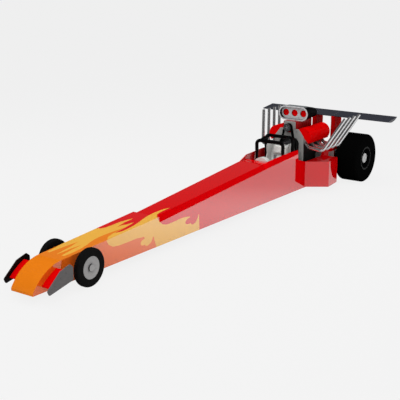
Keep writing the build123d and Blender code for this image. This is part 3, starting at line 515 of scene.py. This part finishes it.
def gridFaces(rows, columns, wrap=False):
    # quads between neighbouring points of a grid, closed round when it wraps
    index = np.arange(rows * columns).reshape(rows, columns)
    here = index if wrap else index[:, :-1]
    ahead = np.roll(index, -1, axis=1) if wrap else index[:, 1:]
    return np.stack([here[:-1], ahead[:-1], ahead[1:], here[1:]], axis=-1).reshape(-1, 4).tolist()


def closedFaces(rows, columns):
    # a grid wrapped into a tube, with both ends closed
    index = np.arange(rows * columns).reshape(rows, columns)
    return gridFaces(rows, columns, True) + [index[0, ::-1].tolist(), index[-1].tolist()]


def heads(name, places, axes, size, finish, body, sides=6):
    # fastener heads in one mesh: each place gets three rings of corners about its axis, the last drawn in
    radius, height = size
    places = np.asarray(places, float)
    axes = np.broadcast_to(np.asarray(axes, float), places.shape)
    axes = axes / np.linalg.norm(axes, axis=1, keepdims=True)
    spare = np.where(np.abs(axes[:, :1]) > 0.7, [[0.0, 0.0, 1.0]], [[1.0, 0.0, 0.0]])
    across = np.cross(axes, spare)
    across = across / np.linalg.norm(across, axis=1, keepdims=True)
    upward = np.cross(axes, across)
    turn = np.arange(sides) * 2 * np.pi / sides
    circle = np.cos(turn)[None, :, None] * across[:, None] + np.sin(turn)[None, :, None] * upward[:, None]
    spread = np.array([1.0, 1.0, 0.8]) * radius
    lift = np.array([-0.3, 0.75, 1.0]) * height
    points = places[:, None, None] + spread[None, :, None, None] * circle[:, None]
    points = points + lift[None, :, None, None] * axes[:, None, None]
    index = np.arange(points.size // 3).reshape(len(places), 3, sides)
    ahead = np.roll(index, -1, axis=2)
    walls = np.stack([index[:, :-1], ahead[:, :-1], ahead[:, 1:], index[:, 1:]], axis=-1).reshape(-1, 4)
    faces = walls.tolist() + index[:, 2].tolist() + index[:, 0, ::-1].tolist()
    return addPiece(name, points.reshape(-1, 3), faces, finish, body, smooth=False)


def ringOf(count, radius, centre, face, axis):
    # places round a circle; axis 0 faces along x and 1 along y
    turn = (np.arange(count) + 0.5) * 2 * np.pi / count
    first, second = centre[0] + radius * np.cos(turn), centre[1] + radius * np.sin(turn)
    level = np.full(count, face)
    return np.stack([level, first, second] if axis == 0 else [first, level, second], axis=1)


# seat: a rigid bucket with swollen pads; run is ahead of the seat's back corner, height above the ground
backRise, cushionRise = (-0.2784, 0.9605), (0.985, 0.171)  # ways up the back and along the cushion
seat = {
    "corner": -2.1215,
    "sides": [(0.47, 0.122), (0.45, 0.378), (0.33, 0.448), (0.192, 0.76), (0.208, 0.918), (0.14, 0.968),
              (0.006, 0.96), (-0.007, 0.92), (0.16, 0.122)],
    "sideFaces": (0.191, 0.211),
    "bucket": [(0.555, 0.122), (0.555, 0.215), (0.5, 0.235), (0.255, 0.2), (0.205, 0.25), (0.012, 0.92),
               (-0.006, 0.918), (0.158, 0.122)],
    "bucketHalf": 0.19,
    "bevel": 0.006,
    "grid": (41, 96),  # points over and round a pad before it is remeshed
    "squareness": (0.5, 0.35),  # powers over the edge and round the outline
    "voxel": 0.006,
    "pressure": 4.0,
    "frames": 20,
    "cap": 0.011,  # furthest that the pressure may move a point
    "channelWide": 0.008,
    "channelDeep": 0.011,
    "pads": {  # middle's run and height, way up, half width, length and thickness, channels across
        "seatBack": (0.142, 0.52, backRise, (0.164, 0.205, 0.017), (-0.1, -0.05, 0.0, 0.05, 0.1)),
        "headPad": (0.059, 0.828, backRise, (0.15, 0.083, 0.02), (-0.05, 0.05)),
        "seatCushion": (0.385, 0.24, cushionRise, (0.164, 0.12, 0.017), (-0.08, 0.0, 0.08)),
    },
}


def prism(outline, low, high):
    # corners of an upright outline at two faces across the car, with walls and both ends
    count = len(outline)
    flat = np.array([(seat["corner"] + run, 0.0, height) for run, height in outline])
    points = np.concatenate([flat + (0, low, 0), flat + (0, high, 0)])
    index = np.arange(count)
    ahead = np.roll(index, -1)
    walls = np.stack([index, index + count, ahead + count, ahead], axis=1).tolist()
    return points, walls + [index.tolist(), (index[::-1] + count).tolist()]


def joined(shapes):
    # several point and face lists as one
    points, faces, start = [], [], 0
    for shapePoints, shapeFaces in shapes:
        points.append(shapePoints)
        faces += [[corner + start for corner in face] for face in shapeFaces]
        start += len(shapePoints)
    return np.concatenate(points), faces


def recalculated(piece):
    # merged and turned outwards
    shell = bmesh.new()
    shell.from_mesh(piece.data)
    bmesh.ops.remove_doubles(shell, verts=shell.verts, dist=0.00001)
    bmesh.ops.recalc_face_normals(shell, faces=shell.faces)
    shell.to_mesh(piece.data)
    shell.free()


near, far = seat["sideFaces"]
shapes = [prism(seat["sides"], near, far), prism(seat["sides"], -far, -near)]
shapes.append(prism(seat["bucket"], -seat["bucketHalf"], seat["bucketHalf"]))
points, faces = joined(shapes)
seatShell = addPiece("seatShell", points, faces, "podGrey", "chassis", smooth=False)
recalculated(seatShell)
addModifier(seatShell, "BEVEL", width=seat["bevel"], segments=3, limit_method="ANGLE")


def powered(values, power):
    # a power that keeps the sign
    return np.sign(values) * np.abs(values) ** power


def swollen(piece):
    # remeshed fine, then blown up by cloth pressure, with no point moving further than the cap
    addModifier(piece, "REMESH", mode="VOXEL", voxel_size=seat["voxel"])
    graph = bpy.context.evaluated_depsgraph_get()
    fine = bpy.data.meshes.new_from_object(piece.evaluated_get(graph))
    piece.modifiers.clear()
    piece.data = fine
    start = np.empty(len(fine.vertices) * 3)
    fine.vertices.foreach_get("co", start)
    air = addModifier(piece, "CLOTH")
    air.settings.use_pressure = True
    air.settings.uniform_pressure_force = seat["pressure"]
    air.settings.effector_weights.gravity = 0.0
    for number in range(1, seat["frames"] + 1):
        bpy.context.scene.frame_set(number)
    graph = bpy.context.evaluated_depsgraph_get()
    blown = piece.evaluated_get(graph).to_mesh()
    end = np.empty(len(fine.vertices) * 3)
    blown.vertices.foreach_get("co", end)
    piece.modifiers.clear()
    bpy.context.scene.frame_set(1)
    moved = (end - start).reshape(-1, 3)
    reach = np.linalg.norm(moved, axis=1, keepdims=True)
    moved = moved * np.minimum(1.0, seat["cap"] / np.maximum(reach, 0.000001))
    return start.reshape(-1, 3) + moved


def padPoints(middle, upward, outward, halves):
    # a ball squared off by raising its sines and cosines to small powers
    rows, columns = seat["grid"]
    over, around = seat["squareness"]
    turns = np.linspace(-np.pi, np.pi, columns, endpoint=False)
    turn, climb = np.meshgrid(turns, np.linspace(-1.5, 1.5, rows))  # nearly from pole to pole
    wide = halves[0] * powered(np.cos(climb), over) * powered(np.cos(turn), around)
    long = halves[1] * powered(np.cos(climb), over) * powered(np.sin(turn), around)
    thick = halves[2] * powered(np.sin(climb), over)
    return middle + wide[..., None] * (0, 1, 0) + long[..., None] * upward + thick[..., None] * outward


def setPoints(piece, points):
    piece.data.vertices.foreach_set("co", points.ravel())
    piece.data.update()


def channelled(pad, points, channels, outward):
    # sewn channels: a bell curve pressed in along each line, on the face alone
    normals = np.empty(points.size)
    pad.data.vertices.foreach_get("normal", normals)
    front = np.clip(normals.reshape(-1, 3) @ outward, 0.0, 1.0)
    away = (points[:, 1:2] - np.array(channels)) / seat["channelWide"]
    dip = np.exp(-(away ** 2)).max(axis=1)
    return points - (seat["channelDeep"] * dip * front)[:, None] * outward


for name, (run, height, rise, halves, channels) in seat["pads"].items():
    upward = np.array([rise[0], 0.0, rise[1]])
    facing = 1.0 if rise[1] > 0.5 else -1.0  # a back faces forwards, a cushion faces up
    outward = facing * np.array([rise[1], 0.0, -rise[0]])
    points = padPoints(np.array([seat["corner"] + run, 0.0, height]), upward, outward, halves)
    pad = addPiece(name, points.reshape(-1, 3), closedFaces(*seat["grid"]), "padFabric", "chassis")
    recalculated(pad)
    points = swollen(pad)
    setPoints(pad, points)
    setPoints(pad, channelled(pad, points, channels, outward))
    if not pad.data.materials:
        pad.data.materials.append(finishes["padFabric"])
    pad.data.polygons.foreach_set("use_smooth", np.full(len(pad.data.polygons), True))
    addModifier(pad, "SUBSURF", levels=1, render_levels=1)
    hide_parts("seat")
print("seat padded")

# harness webbing: a ribbon along each line of points, run and height from the seat's corner
harness = {
    "width": 0.048,
    "thick": 0.0025,
    "steps": 40,
    "straps": {  # the way a strap faces, then run, across and height of points down it
        "shoulderStrap": ((0.96, 0.0, 0.28), [
            (0.104, 0.075, 0.742), (0.124, 0.075, 0.735), (0.15, 0.07, 0.66), (0.18, 0.062, 0.55),
            (0.212, 0.05, 0.44), (0.245, 0.036, 0.35), (0.29, 0.026, 0.292)]),
        "lapStrap": ((-0.1, 0.0, 1.0), [
            (0.262, 0.165, 0.262), (0.29, 0.13, 0.282), (0.305, 0.08, 0.286), (0.312, 0.03, 0.29)]),
    },
    "buckle": (0.312, 0.0, 0.288),
    "buckleSize": (0.03, 0.018),
}
for name, (face, line) in harness["straps"].items():
    for hand, side in hands:
        knots = np.array([(seat["corner"] + run, side * across, height) for run, across, height in line])
        steps = np.linspace(0, len(knots) - 1, harness["steps"])
        columns = [np.interp(steps, np.arange(len(knots)), column) for column in knots.T]
        path = np.stack(columns, axis=1)
        sideways = np.cross(np.gradient(path, axis=0), face)
        sideways = sideways / np.linalg.norm(sideways, axis=1, keepdims=True) * harness["width"] / 2
        points = np.stack([path - sideways, path, path + sideways], axis=1).reshape(-1, 3)
        strap = addPiece(name + hand, points, gridFaces(harness["steps"], 3), "webbing", "chassis")
        addModifier(strap, "SOLIDIFY", thickness=harness["thick"], offset=0.0)
run, across, height = harness["buckle"]
spots = [(seat["corner"] + run, across, height)]
heads("buckle", spots, (0.0, 0.0, 1.0), harness["buckleSize"], "boltSteel", "chassis", 20)
print("harness laid")

# fasteners: places in metres; a size is a head's radius and height
fasteners = {
    "sizes": {
        "panelButtons": (0.007, 0.0025), "plateBolts": (0.011, 0.01), "coverScrews": (0.007, 0.006),
        "throttleScrews": (0.008, 0.006), "lipScrews": (0.005, 0.004), "pulleyBolts": (0.008, 0.008),
        "pulleyNut": (0.019, 0.016), "flangeNuts": (0.006, 0.007), "coverNuts": (0.01, 0.009),
        "endplateScrews": (0.008, 0.004), "wingScrews": (0.007, 0.003), "frontNuts": (0.009, 0.009),
        "beadBolts": (0.008, 0.006), "rearNuts": (0.013, 0.02),
    },
    "buttons": {"start": 4.0, "end": -2.1, "pitch": 0.35, "height": 0.15},
    "noseX": 4.2985,
    "noseHalf": 0.193,  # half the body's width at the nose, and how fast it grows to the rear
    "sideSlope": 0.01956,
    "forward": {  # x of the face, the height that is counted from, then places across and up
        "plateBolts": (-2.3655, 0.0, [(0.234, 0.25), (0.234, 0.42), (0.234, 0.59), (0.234, 0.76),
                                      (0.225, 1.03), (0.15, 1.13)]),
        "coverScrews": (-2.3655, 0.0, [(0.095, 1.192), (0.095, 1.276), (0.036, 1.276)]),
        "throttleScrews": (-2.5375, hat["middle"], [(0.089, -0.082), (0.089, 0.082)]),
        "lipScrews": (-2.4755, hat["middle"], [(0.06, -0.117), (0.06, 0.117), (0.16, -0.117), (0.16, 0.117)]),
    },
    "pulleyFace": -2.2652,
    "pulleys": [(1.2, 5, 0.034), (0.775, 6, 0.042)],  # height, bolts and the radius of their circle
    "ports": [-2.4375, -2.6325, -2.8275, -3.0225],
    "portPlace": (0.2889, 0.9295),
    "flangeThick": 0.012,
    "flangeReach": 0.0365,
    "ridge": (0.3797, 1.1547),
    "ridgeX": [-2.46, -2.65, -2.85, -3.04],
    "endplateFace": 0.39,
    "endplate": [(3.9, 0.352), (4.0, 0.302), (4.1, 0.232)],
    "wing": {"front": -3.6645, "across": 0.2, "height": 1.24, "climb": 0.1136},
    "wingRuns": [0.06, 0.14, 0.22, 0.3],
    "wheelRings": {  # end of the car, how many, radius of their circle, face across the car, finish
        "frontNuts": ("front", 5, 0.062, 0.3512, "boltSteel"),
        "beadBolts": ("rear", 20, 0.206, 0.844, "gripBlack"),
        "rearNuts": ("rear", 5, 0.088, 0.694, "boltSteel"),
    },
}


def bothSides(spots):
    # the same places on the right side of the car too
    spots = np.asarray(spots, float)
    return np.concatenate([spots, spots * (1, -1, 1)])


def pairedHeads(name, spots, way, finish="boltSteel", sides=6):
    # the same fasteners on the left and on the right
    ways = bothSides([way] * len(spots))
    heads(name, bothSides(spots), ways, fasteners["sizes"][name], finish, "chassis", sides)


def wheelBody(end, hand):
    return "rear_axle" if end == "rear" else "front_wheel_" + hand.lower()


buttons = fasteners["buttons"]
along = np.arange(buttons["start"], buttons["end"], -buttons["pitch"])
flank = fasteners["noseHalf"] + fasteners["sideSlope"] * (fasteners["noseX"] - along)
spots = np.stack([along, flank, np.full(len(along), buttons["height"])], axis=1)
pairedHeads("panelButtons", spots, (0, 1, 0), "flamePaint", 12)
for name, (face, base, places) in fasteners["forward"].items():
    pairedHeads(name, [(face, across, base + up) for across, up in places], (1, 0, 0))

sizes, face = fasteners["sizes"], fasteners["pulleyFace"]
rings = [ringOf(count, circle, (0.0, height), face, 0) for height, count, circle in fasteners["pulleys"]]
heads("pulleyBolts", np.concatenate(rings), (1, 0, 0), sizes["pulleyBolts"], "boltSteel", "chassis")
spots = [(face, 0.0, height) for height, count, circle in fasteners["pulleys"]]
heads("pulleyNut", spots, (1, 0, 0), sizes["pulleyNut"], "boltSteel", "chassis")

across, height = fasteners["portPlace"]
out, reach = fasteners["flangeThick"] * np.sqrt(0.5), fasteners["flangeReach"]  # flanges face out and down
spots = [(x + shift, across + out, height - out) for x in fasteners["ports"] for shift in (-reach, reach)]
pairedHeads("flangeNuts", spots, (0, 1, -1))
pairedHeads("coverNuts", [(x, *fasteners["ridge"]) for x in fasteners["ridgeX"]], (0, 1, 1), "engineRed")
spots = [(x, fasteners["endplateFace"], height) for x, height in fasteners["endplate"]]
pairedHeads("endplateScrews", spots, (0, 1, 0), "endplateGrey", 12)
wing = fasteners["wing"]
runs = np.array(fasteners["wingRuns"])
heights = wing["height"] + wing["climb"] * runs
spots = np.stack([wing["front"] - runs, np.full(len(runs), wing["across"]), heights], axis=1)
pairedHeads("wingScrews", spots, (wing["climb"], 0, 1), sides=12)

# wheel nuts and bead bolts ride with their wheels
for hand, side in hands:
    for name, (end, count, circle, face, finish) in fasteners["wheelRings"].items():
        spots = ringOf(count, circle, wheelPlaces[end], side * face, 1)
        heads(name + hand, spots, (0, side, 0), sizes[name], finish, wheelBody(end, hand))

# hub caps ride with their wheels too: profiles of radius and distance across the car
hubCaps = {
    "sides": 48,
    "profiles": {
        "front": [(0.002, 0.3665), (0.04, 0.3665), (0.04, 0.349), (0.05, 0.349), (0.05, 0.368),
                  (0.047, 0.3725), (0.014, 0.374), (0.002, 0.374)],
        "rear": [(0.05, 0.775), (0.094, 0.778), (0.094, 0.812), (0.088, 0.82), (0.03, 0.824), (0.002, 0.824)],
    },
}


def hubCap(end, hand, side):
    # the profile turned about the axle
    radius, across = np.array(hubCaps["profiles"][end]).T[..., None]
    turn = np.arange(hubCaps["sides"]) * 2 * np.pi / hubCaps["sides"]
    x = wheelPlaces[end][0] + radius * np.cos(turn)
    z = wheelPlaces[end][1] + radius * np.sin(turn)
    points = np.stack([x, np.broadcast_to(side * across, x.shape), z], axis=-1).reshape(-1, 3)
    faces, body = closedFaces(*x.shape), wheelBody(end, hand)
    recalculated(addPiece(end + "Cap" + hand, points, faces, end + "Cap", body, smooth=False))


for hand, side in hands:
    for end in hubCaps["profiles"]:
        hubCap(end, hand, side)

# rounded fairings down the front edges of the wing's pylons: half an ellipse with a narrow tail
fairing = {
    "across": 0.2,
    "halfWide": 0.044,
    "ahead": 0.06,
    "behind": 0.1,
    "tailHalf": 0.0125,
    "steps": 25,
    "bevel": 0.002,
    "edge": [(-3.692, 0.79), (-3.7045, 1.12), (-3.697, 1.226)],  # x and height up the front edge
}
swing = np.linspace(-np.pi / 2, np.pi / 2, fairing["steps"])
run = np.concatenate([[-fairing["behind"]], fairing["ahead"] * np.cos(swing), [-fairing["behind"]]])
wide = np.concatenate([[-fairing["tailHalf"]], fairing["halfWide"] * np.sin(swing), [fairing["tailHalf"]]])
for hand, side in hands:
    across = side * fairing["across"] + wide
    rows = [np.stack([x + run, across, np.full(len(run), height)], axis=1) for x, height in fairing["edge"]]
    faces = closedFaces(len(rows), len(run))
    piece = addPiece("pylonFairing" + hand, np.concatenate(rows), faces, "pylonRed", "chassis")
    recalculated(piece)
    addModifier(piece, "BEVEL", width=fairing["bevel"], segments=2, limit_method="ANGLE")

# foam sleeves round the cage above the coaming
cageSleeves = {
    "floor": 0.12,
    "bend": 0.07,
    "bendSteps": 13,
    "hoops": {  # x, half width at the foot and at the top, height of the top and of the sleeve's lower end
        "Front": (-1.6812, 0.24, 0.268, 1.04, 0.852),
        "Rear": (-2.0111, 0.24, 0.278, 1.082, 0.866),
    },
    "hoopRadius": 0.031,
    "tieRadius": 0.028,
    "sides": 20,
    "bevel": 0.004,
}


def sleeve(name, path, across, radius):
    # a circle carried along a path, standing square to it
    turn = np.arange(cageSleeves["sides"]) * 2 * np.pi / cageSleeves["sides"]
    upward = np.cross(np.gradient(path, axis=0), across)
    upward = upward / np.linalg.norm(upward, axis=1, keepdims=True)
    circle = np.cos(turn)[None, :, None] * np.asarray(across) + np.sin(turn)[None, :, None] * upward[:, None]
    points = (path[:, None] + radius * circle).reshape(-1, 3)
    piece = addPiece(name, points, closedFaces(len(path), len(turn)), "gripBlack", "chassis")
    recalculated(piece)
    addModifier(piece, "BEVEL", width=cageSleeves["bevel"], segments=2, limit_method="ANGLE")


floorHeight, bend = cageSleeves["floor"], cageSleeves["bend"]
for place, (x, footHalf, topHalf, top, low) in cageSleeves["hoops"].items():
    # up the left leg, round the bend on an arc from the leg's lean to level, then the same mirrored
    lean = np.arctan2(top - floorHeight, topHalf - footHalf)
    reach = bend * np.tan((np.pi - lean) / 2)
    heading = np.linspace(lean, np.pi, cageSleeves["bendSteps"])
    arcAcross = topHalf - reach * np.cos(lean) + bend * (np.sin(heading) - np.sin(lean))
    arcHeight = top - reach * np.sin(lean) - bend * (np.cos(heading) - np.cos(lean))
    lowAcross = footHalf + (topHalf - footHalf) * (low - floorHeight) / (top - floorHeight)
    across = np.concatenate([[lowAcross], arcAcross])
    height = np.concatenate([[low], arcHeight])
    path = np.stack([np.full(2 * len(across), x), np.concatenate([across, -across[::-1]]),
                     np.concatenate([height, height[::-1]])], axis=1)
    sleeve("cageSleeve" + place, path, (1.0, 0.0, 0.0), cageSleeves["hoopRadius"])
hoops = cageSleeves["hoops"].values()
for hand, side in hands:
    ends = [(x, side * (topHalf - bend), top) for x, footHalf, topHalf, top, low in hoops]
    sleeve("cageSleeve" + hand, np.array(ends), (0.0, 1.0, 0.0), cageSleeves["tieRadius"])

# gauges on the dash, plain dials with no figures
gauges = {
    "face": -1.3915,
    "spots": [(0.16, 0.665), (0.105, 0.615)],
    "bezel": (0.034, 0.014),
    "dial": (0.028, 0.015),
    "sides": 28,
}
spots = bothSides([(gauges["face"], across, height) for across, height in gauges["spots"]])
heads("gaugeBezels", spots, (-1, 0, 0), gauges["bezel"], "gripBlack", "chassis", gauges["sides"])
heads("gaugeDials", spots, (-1, 0, 0), gauges["dial"], "dialPale", "chassis", gauges["sides"])
print("fasteners and gauges set")

# floor, world, lamps and camera
studio = {
    "pale": (0.88, 0.88, 0.88, 1),
    "floorHalf": 300.0,
    "shadowShare": 0.045,  # how much of the floor's pale shows shadows, over its glow
    "glow": 0.965,
    "bounce": (0.8, 0.8, 0.8, 1),
    "skyHigh": 0.35,  # share of the pale at the top of the sky, and how fast it is reached
    "skySlope": 3.0,
    "mirror": [  # height, room, haze
        (0.0, 0.35, 0.0), (0.325, 0.4, 0.0), (0.339, 0.68, 0.0), (0.349, 1.02, 0.0), (0.357, 1.26, 0.0),
        (0.363, 1.28, 0.0), (0.368, 1.15, 0.0), (0.375, 0.82, 0.0), (0.382, 0.72, 0.0), (0.4, 0.85, 0.0),
        (0.44, 1.1, 0.02), (0.53, 1.0, 0.09), (0.6, 0.7, 0.11), (0.67, 0.3, 0.09), (0.72, 0.0, 0.0),
    ],
    "mirrorRear": (0.78, 0.3),  # level across the middle, and how fast it grows to the rear
    "mirrorLeft": (-0.05, 4.0),  # where the room starts, and how fast it comes up
    "lamps": [  # place, aim, width, watts
        ((10.0, 3.5, 7.0), (0.5, 0.0, 0.4), 6.0, 560.0),
        ((-6.0, 8.0, 5.0), (-1.5, 0.0, 0.5), 5.0, 190.0),
        ((3.0, -8.0, 7.0), (0.0, 0.0, 0.4), 6.0, 260.0),
        ((0.0, 0.0, 10.0), (0.0, 0.0, 0.0), 10.0, 830.0),
    ],
    "cameraPlace": (11.5775, 7.885, 4.224),
    "cameraAim": (-0.787, -0.557, -0.266),
    "lens": 80.52,
}
half = studio["floorHalf"]
floorMesh = bpy.data.meshes.new("floor")
corners = [(-half, -half, 0), (half, -half, 0), (half, half, 0), (-half, half, 0)]
floorMesh.from_pydata(corners, [], [(0, 1, 2, 3)])
floor = bpy.data.objects.new("floor", floorMesh)
bpy.context.scene.collection.objects.link(floor)
floor.visible_glossy = False
floorPaint = bpy.data.materials.new("floorPaint")
floorPaint.use_nodes = True
tree = floorPaint.node_tree
tree.nodes.clear()
wire = Wire(tree)
seen = wire.node("LightPath", out="Is Camera Ray")
matte = wire.node("BsdfDiffuse", None, {"Color": studio["bounce"]})
thin = wire.node("BsdfDiffuse", None, {"Color": shade(studio["pale"], studio["shadowShare"])})
glow = wire.node("Emission", None, {"Color": studio["pale"], "Strength": studio["glow"]})
shown = wire.node("AddShader", None, {0: thin, 1: glow})
surface = wire.node("MixShader", None, {0: seen, 1: matte, 2: shown})
wire.node("OutputMaterial", None, {"Surface": surface})
floorMesh.materials.append(floorPaint)

world = bpy.data.worlds.new("studio")
bpy.context.scene.world = world
world.use_nodes = True
tree = world.node_tree
tree.nodes.clear()
wire = Wire(tree)
seen = wire.node("LightPath", out="Is Camera Ray")
shiny = wire.node("LightPath", out="Is Glossy Ray")
ahead, leftward, height = wire.node("TexCoord", out="Generated").parts()
skyTop = shade(studio["pale"], studio["skyHigh"])
sky = (height * studio["skySlope"]).unit().tint(studio["pale"], skyTop)
# what the paint mirrors: a pale room on the car's left, brighter to the rear,
# with a faint haze round the horizon
stops = [(place, (level / 2, haze, 0, 1)) for place, level, haze in studio["mirror"]]
room = wire.node("ValToRGB", {"stops": stops}, {0: height * 0.5 + 0.5})
level = wire.node("SeparateColor", None, {0: room}, "Red") * 2.0
haze = wire.node("SeparateColor", None, {0: room}, "Green")
rearGain, rearSlope = studio["mirrorRear"]
leftStart, leftSlope = studio["mirrorLeft"]
level = level * (rearGain - ahead * rearSlope) * ((leftward - leftStart) * leftSlope).unit() + haze
level = level * (wire.node("LightPath", out="Glossy Depth") < 1.5)  # a mirror seen in a mirror stays plain
dim = wire.node("CombineColor", None, {"Red": level, "Green": level, "Blue": level})
shown = seen.tint(shiny.tint(sky, dim), studio["pale"])
backdrop = wire.node("Background", None, {"Color": shown, "Strength": 1.0})
wire.node("OutputWorld", None, {"Surface": backdrop})

for number, (place, aim, width, watts) in enumerate(studio["lamps"]):
    lampData = bpy.data.lights.new("softbox%d" % number, "AREA")
    lampData.size = width
    lampData.energy = watts
    lamp = bpy.data.objects.new(lampData.name, lampData)
    lamp.location = place
    lamp.rotation_euler = (Vector(aim) - Vector(place)).to_track_quat("-Z", "Y").to_euler()
    bpy.context.scene.collection.objects.link(lamp)
    lamp.visible_glossy = False  # the paint mirrors the room, not the lamps

cameraData = bpy.data.cameras.new("photoCamera")
cameraData.lens = studio["lens"]
cameraData.clip_end = 1000.0
camera = bpy.data.objects.new("photoCamera", cameraData)
camera.location = studio["cameraPlace"]
camera.rotation_euler = Vector(studio["cameraAim"]).to_track_quat("-Z", "Y").to_euler()
bpy.context.scene.collection.objects.link(camera)
bpy.context.scene.camera = camera
bpy.context.scene.view_settings.view_transform = "Standard"
print("studio set")
